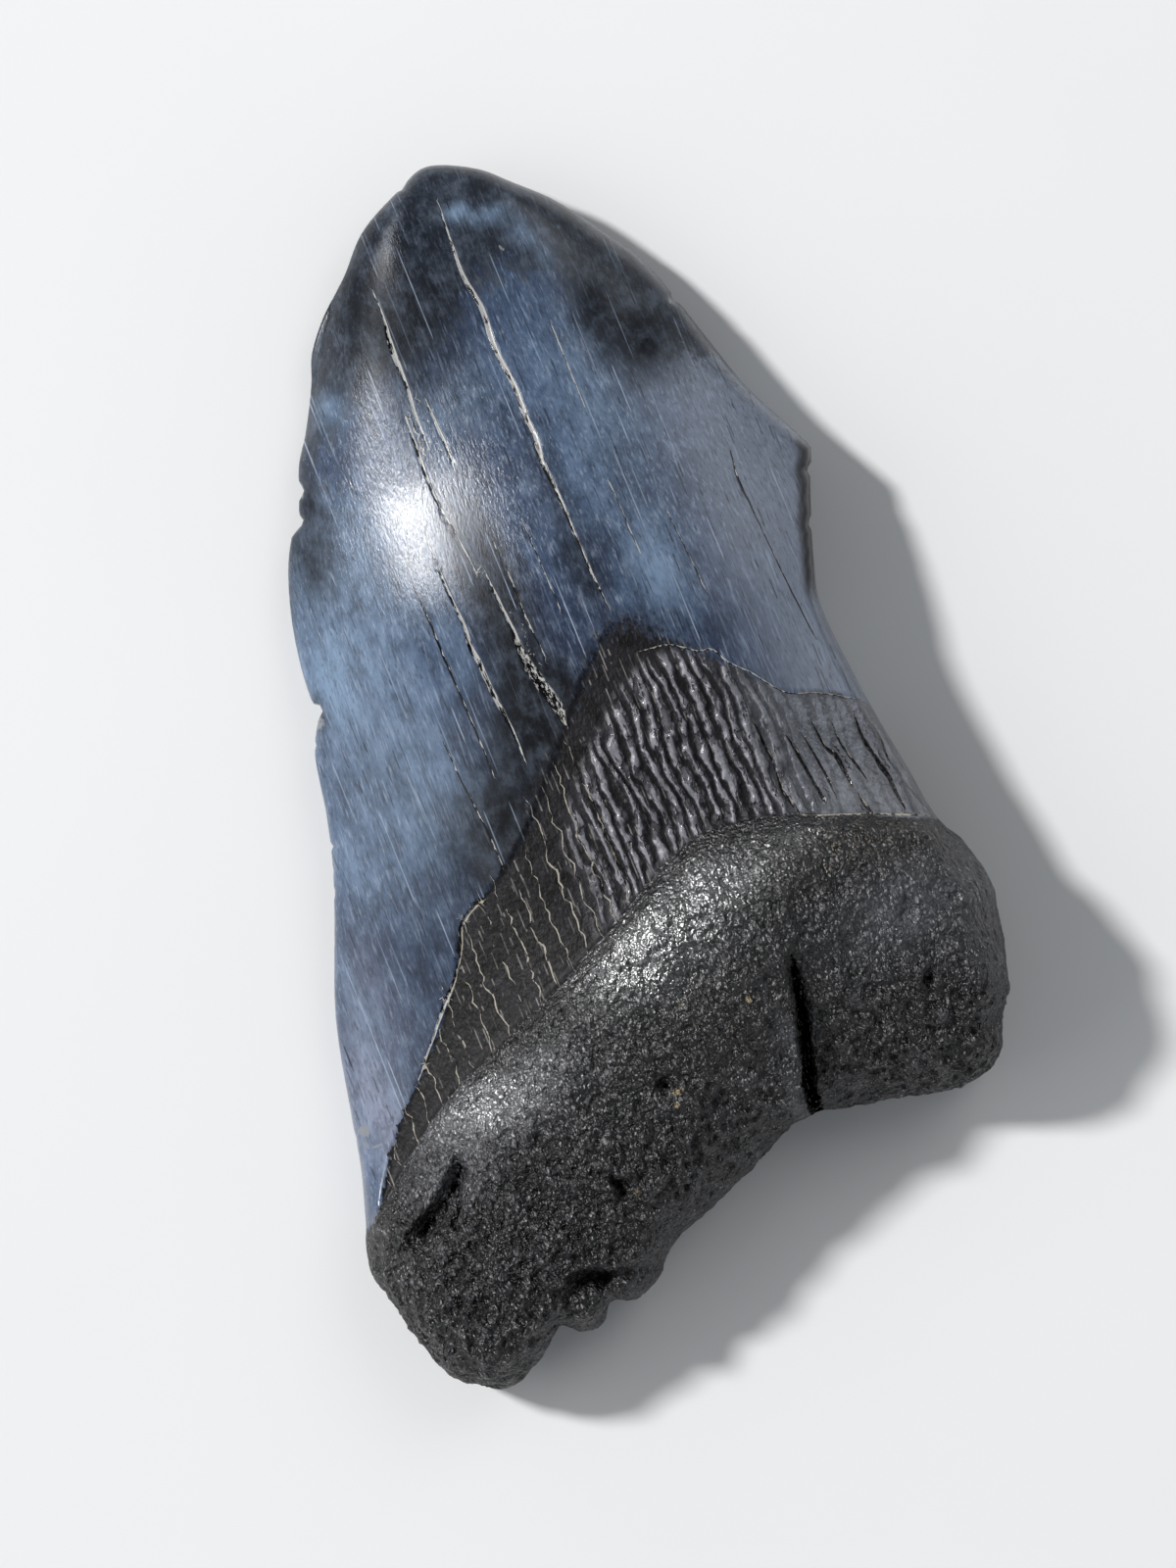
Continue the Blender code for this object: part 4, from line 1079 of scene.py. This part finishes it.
def enamel_and_root(make):
    """The shares of enamel and of root. Where enamel is smudged, it fades out in specks."""
    wander = make.less(make.noise(2.2, 2.2, 21), 0.5)
    ragged = make.times(make.less(make.noise(0.7, 0.9, 26, 2.0), 0.5), 1.3)
    smudge = make.fact("smudge")
    fade = make.times(make.less(make.noise(0.4, 0.8, 33, 3.0, 0.7), 0.5), make.times(smudge, 9))
    enamel = make.plus(make.fact("enamel_offset"), make.times(wander, 1.2), make.plus(ragged, fade))
    enamel = make.ramp(enamel, make.between(smudge, -0.1, -1.5), make.between(smudge, 0.1, 2.5))
    return enamel, make.ramp(make.plus(make.fact("root_offset"), make.times(wander, -1.0)), -0.12, 0.12)


def stain_share(make):
    """How much of the enamel is stained: all beyond a mottled line, and in spots."""
    edge = make.times(make.less(make.noise(1.9, 2.6, 4, 5.0, 0.7), 0.5), 14)
    beyond = make.ramp(make.plus(make.fact("stain_offset"), edge), -1.2, 1.5)
    spots = make.times(make.fact("dark_stain"), make.ramp(make.noise(8, 13, 2), 0.2, 0.6, 0.7, 1.1))
    return make.most(make.times(beyond, make.ramp("pale_cloud", 0.0, 1.0, 0.9, 0.1)), spots)


def marks_over(make, tone, speckle):
    """The tone with grains of sediment and with chips, which show the pale stuff under the enamel."""
    gritty = make.times(make.fact("sediment"), make.ramp(speckle, 0.4, 0.55))
    chipped = make.times(make.fact("chips"), make.ramp(speckle, 0.35, 0.6, 0.5, 1.0))
    return make.layers(
        tone, (make.ramp(gritty, 0.3, 0.5), "#9a8b6e"), (make.ramp(chipped, 0.35, 0.6), "#7d7f83"))


def gloss(make, enamel, root, ridge, streaks):
    """Roughness: enamel and wrinkle tops are the smoothest, stains and the root's low parts are duller."""
    on_enamel = make.plus(make.ramp(streaks, 0.3, 0.8, 0.2, 0.27), make.times(make.fact("dark_stain"), 0.2))
    crown = make.between(enamel, make.between(ridge, 0.5, 0.22), on_enamel)
    return make.between(root, crown, make.ramp("polish", 0.0, 1.0, 0.42, 0.28))


def shine(make, enamel, root, ridge):
    """Specular level: weak on stains and dull patches, and none in the hollows."""
    dulled = make.most(make.fact("dull"), make.times(make.fact("dim"), 0.9))
    crown = make.between(enamel, make.between(ridge, 0.15, 0.5), make.between(dulled, 0.34, 0.06))
    stone = make.times(make.ramp("polish", 0.0, 1.0, 0.45, 1.0), make.less(1.0, painted_hollow_shade(make)))
    return make.between(root, crown, stone)


# Phosphate is glassier than most plastics. The root's polished crest carries a second, glassier skin.
PHOSPHATE_IOR = 1.6
CREST_ROUGHNESS = 0.22
CREST_IOR = 1.8
SEDIMENT_HEIGHT = 0.1


def bump_height(make, enamel, root, dome, tops, sediment, speckle, streaks):
    """The height, in metres, of bumps that are too fine for the mesh."""
    off_root = make.less(1.0, root)
    rough = make.times(root, make.ramp("worn_root", 0.0, 1.0, 1.0, 0.5),
                       make.ramp("polish", 0.0, 1.0, 1.0, 0.45))
    grain = make.noise(0.34, 0.62, 12, 2.0, 0.5)
    height = make.times(sediment, SEDIMENT_HEIGHT * MM)
    for texture, height_mm, where in (
        (streaks, 0.02, enamel),
        (speckle, 0.03, enamel),
        (tops, 0.07, rough),
        (grain, 0.16, rough),
        (make.noise(0.55, 0.75, 31, 0.8, 0.5), 0.65, rough),
        (creases(make), 0.3, make.times(rough, rugged(make))),
        (make.plus(crinkle(make), 0.5), 0.3, rough),
        (grain, 0.12, make.times(off_root, make.less(1.0, enamel))),
        (dome, 0.35, make.times(off_root, make.fact("wrinkle_zone"))),
    ):
        height = make.plus(height, make.times(make.less(texture, 0.5), where, height_mm * MM))
    return height


def fossil_finish():
    """Phosphate fossil, water-polished: glassy blue-grey enamel, and black root and bourlette."""
    material = bpy.data.materials.new("water_polished_fossil")
    material.use_nodes = True
    tree = material.node_tree
    sockets = tree.nodes["Principled BSDF"].inputs
    sockets["IOR"].default_value = PHOSPHATE_IOR
    sockets["Coat Roughness"].default_value = CREST_ROUGHNESS
    sockets["Coat IOR"].default_value = CREST_IOR
    make = Maker(tree, tree.nodes.new(PLACE).outputs["Object"])

    enamel, root = enamel_and_root(make)
    speckle = make.noise(0.26, 1.3, 17, 3.0, 0.7)
    streaks = make.noise(0.25, 5, 6)
    mottle = make.noise(1.6, 2.4, 9, 4.0)
    dome, leftward = wrinkle_dome(make)
    tops, pale_and_lit_tops = grains(make)
    bourlette, ridge = bourlette_tone(make, dome, leftward, mottle)
    tone = make.layers(
        bourlette,
        (enamel, enamel_tone(make, stain_share(make), speckle, streaks)),
        (root, root_tone(make, mottle, tops, pale_and_lit_tops)),
        (make.times(make.fact("broken"), 0.9), "#1d1816"),
    )
    tone, sediment = cracks_over(make, tone, enamel)
    height = bump_height(make, enamel, root, dome, tops, sediment, speckle, streaks)
    bump = make.node("ShaderNodeBump", Height=height, Distance=1.0, Strength=1.0).outputs["Normal"]
    tree.links.new(marks_over(make, tone, speckle), sockets["Base Color"])
    tree.links.new(gloss(make, enamel, root, ridge, streaks), sockets["Roughness"])
    tree.links.new(shine(make, enamel, root, ridge), sockets["Specular IOR Level"])
    tree.links.new(make.times(root, make.fact("polish")).outputs[0], sockets["Coat Weight"])
    tree.links.new(bump, sockets["Normal"])
    tree.links.new(bump, sockets["Coat Normal"])
    return material


def build_tooth():
    """The dressed tooth, in place of its solid. It gives the shift from its own frame to the solid."""
    finish = fossil_finish()
    mesh, shift = base_mesh()
    mesh = with_relief(mesh, finish)
    mesh.name = "tooth_fossil"
    keep_in_box(mesh)
    tooth = bpy.data.objects.new("tooth_fossil", mesh)
    bpy.context.scene.collection.objects.link(tooth)
    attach(tooth, "root")
    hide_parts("tooth")
    return shift


# ---------------------------------------------------------------------------------------------------
# Floor, lights and camera.
# ---------------------------------------------------------------------------------------------------

LEAN = math.radians(22)
PICTURE_MIDDLE = (-9.8, 52.6, 5)
CAMERA_DISTANCE = 800
PICTURE_WIDTH = 120
SENSOR_WIDTH = 36
FLOOR_REACH = 3

# Each softbox as (name, direction from the tooth, size in metres, radiance), all at one distance.
SOFTBOX_DISTANCE = 3
SOFTBOX_TARGET = (0, 0, 0.01)
SOFTBOXES = [("key", (-0.55, 0.53, 0.645), 0.36, 270), ("left_sky", (-0.84, 0.22, 0.5), 2.2, 1),
             ("right_sky", (0.6, 0.33, 0.73), 1.7, 1.4)]
ROOM_COLOUR = (0.9, 0.95, 1, 1)
ROOM_SIDES = 0.62
ROOM_OVERHEAD = 0.08


def floor():
    """A plain pale floor under the tooth."""
    corners = [(x * FLOOR_REACH, y * FLOOR_REACH, 0) for x, y in ((-1, -1), (1, -1), (1, 1), (-1, 1))]
    mesh = bpy.data.meshes.new("floor")
    mesh.from_pydata(corners, [], [(0, 1, 2, 3)])
    made = bpy.data.objects.new("floor", mesh)
    bpy.context.scene.collection.objects.link(made)
    material = bpy.data.materials.new("white_plaster")
    material.use_nodes = True
    tree = material.node_tree
    sockets = tree.nodes["Principled BSDF"].inputs
    sockets["Roughness"].default_value = 0.9
    make = Maker(tree)
    cloud = make.node(NOISE, make.node(PLACE).outputs["Object"], Scale=9.0, Detail=4.0)
    tree.links.new(make.blend(cloud.outputs[0], "#ececec", "#f4f4f4"), sockets["Base Color"])
    mesh.materials.append(material)


def softbox(name, direction, size, radiance):
    """A round area light of the given radiance that faces the tooth."""
    light = bpy.data.lights.new(name, "AREA")
    light.shape = "DISK"
    light.size = size
    light.energy = radiance * math.pi * math.pi * size ** 2 / 4
    lamp = bpy.data.objects.new(name, light)
    toward = Vector(direction).normalized()
    lamp.location = Vector(SOFTBOX_TARGET) + toward * SOFTBOX_DISTANCE
    lamp.rotation_euler = toward.to_track_quat("Z", "Y").to_euler()
    bpy.context.scene.collection.objects.link(lamp)


def lights():
    """A small key light, a broad softbox on each side, and a room that is dark overhead."""
    for box in SOFTBOXES:
        softbox(*box)
    world = bpy.data.worlds.new("studio")
    world.use_nodes = True
    make = Maker(world.node_tree)
    up = make.node(SPLIT, make.node(PLACE).outputs["Generated"]).outputs["Z"]
    sockets = world.node_tree.nodes["Background"].inputs
    sockets["Color"].default_value = ROOM_COLOUR
    glow = make.node(RANGE, up, 0.0, 1.0, ROOM_SIDES, ROOM_OVERHEAD)
    world.node_tree.links.new(glow.outputs[0], sockets["Strength"])
    bpy.context.scene.world = world


def camera(shift):
    """Looks straight down, rolled so that the tooth leans as it does in the hand."""
    data = bpy.data.cameras.new("camera")
    data.sensor_fit = "HORIZONTAL"
    data.sensor_width = SENSOR_WIDTH
    data.lens = SENSOR_WIDTH * CAMERA_DISTANCE / PICTURE_WIDTH
    made = bpy.data.objects.new("camera", data)
    made.location = Vector(shift + PICTURE_MIDDLE + np.array((0, 0, CAMERA_DISTANCE))) * MM
    made.rotation_euler = (0, 0, -LEAN)
    bpy.context.scene.collection.objects.link(made)
    bpy.context.scene.camera = made


def main():
    bpy.context.scene.view_settings.view_transform = "Standard"
    shift = build_tooth()
    floor()
    lights()
    camera(shift)


main()
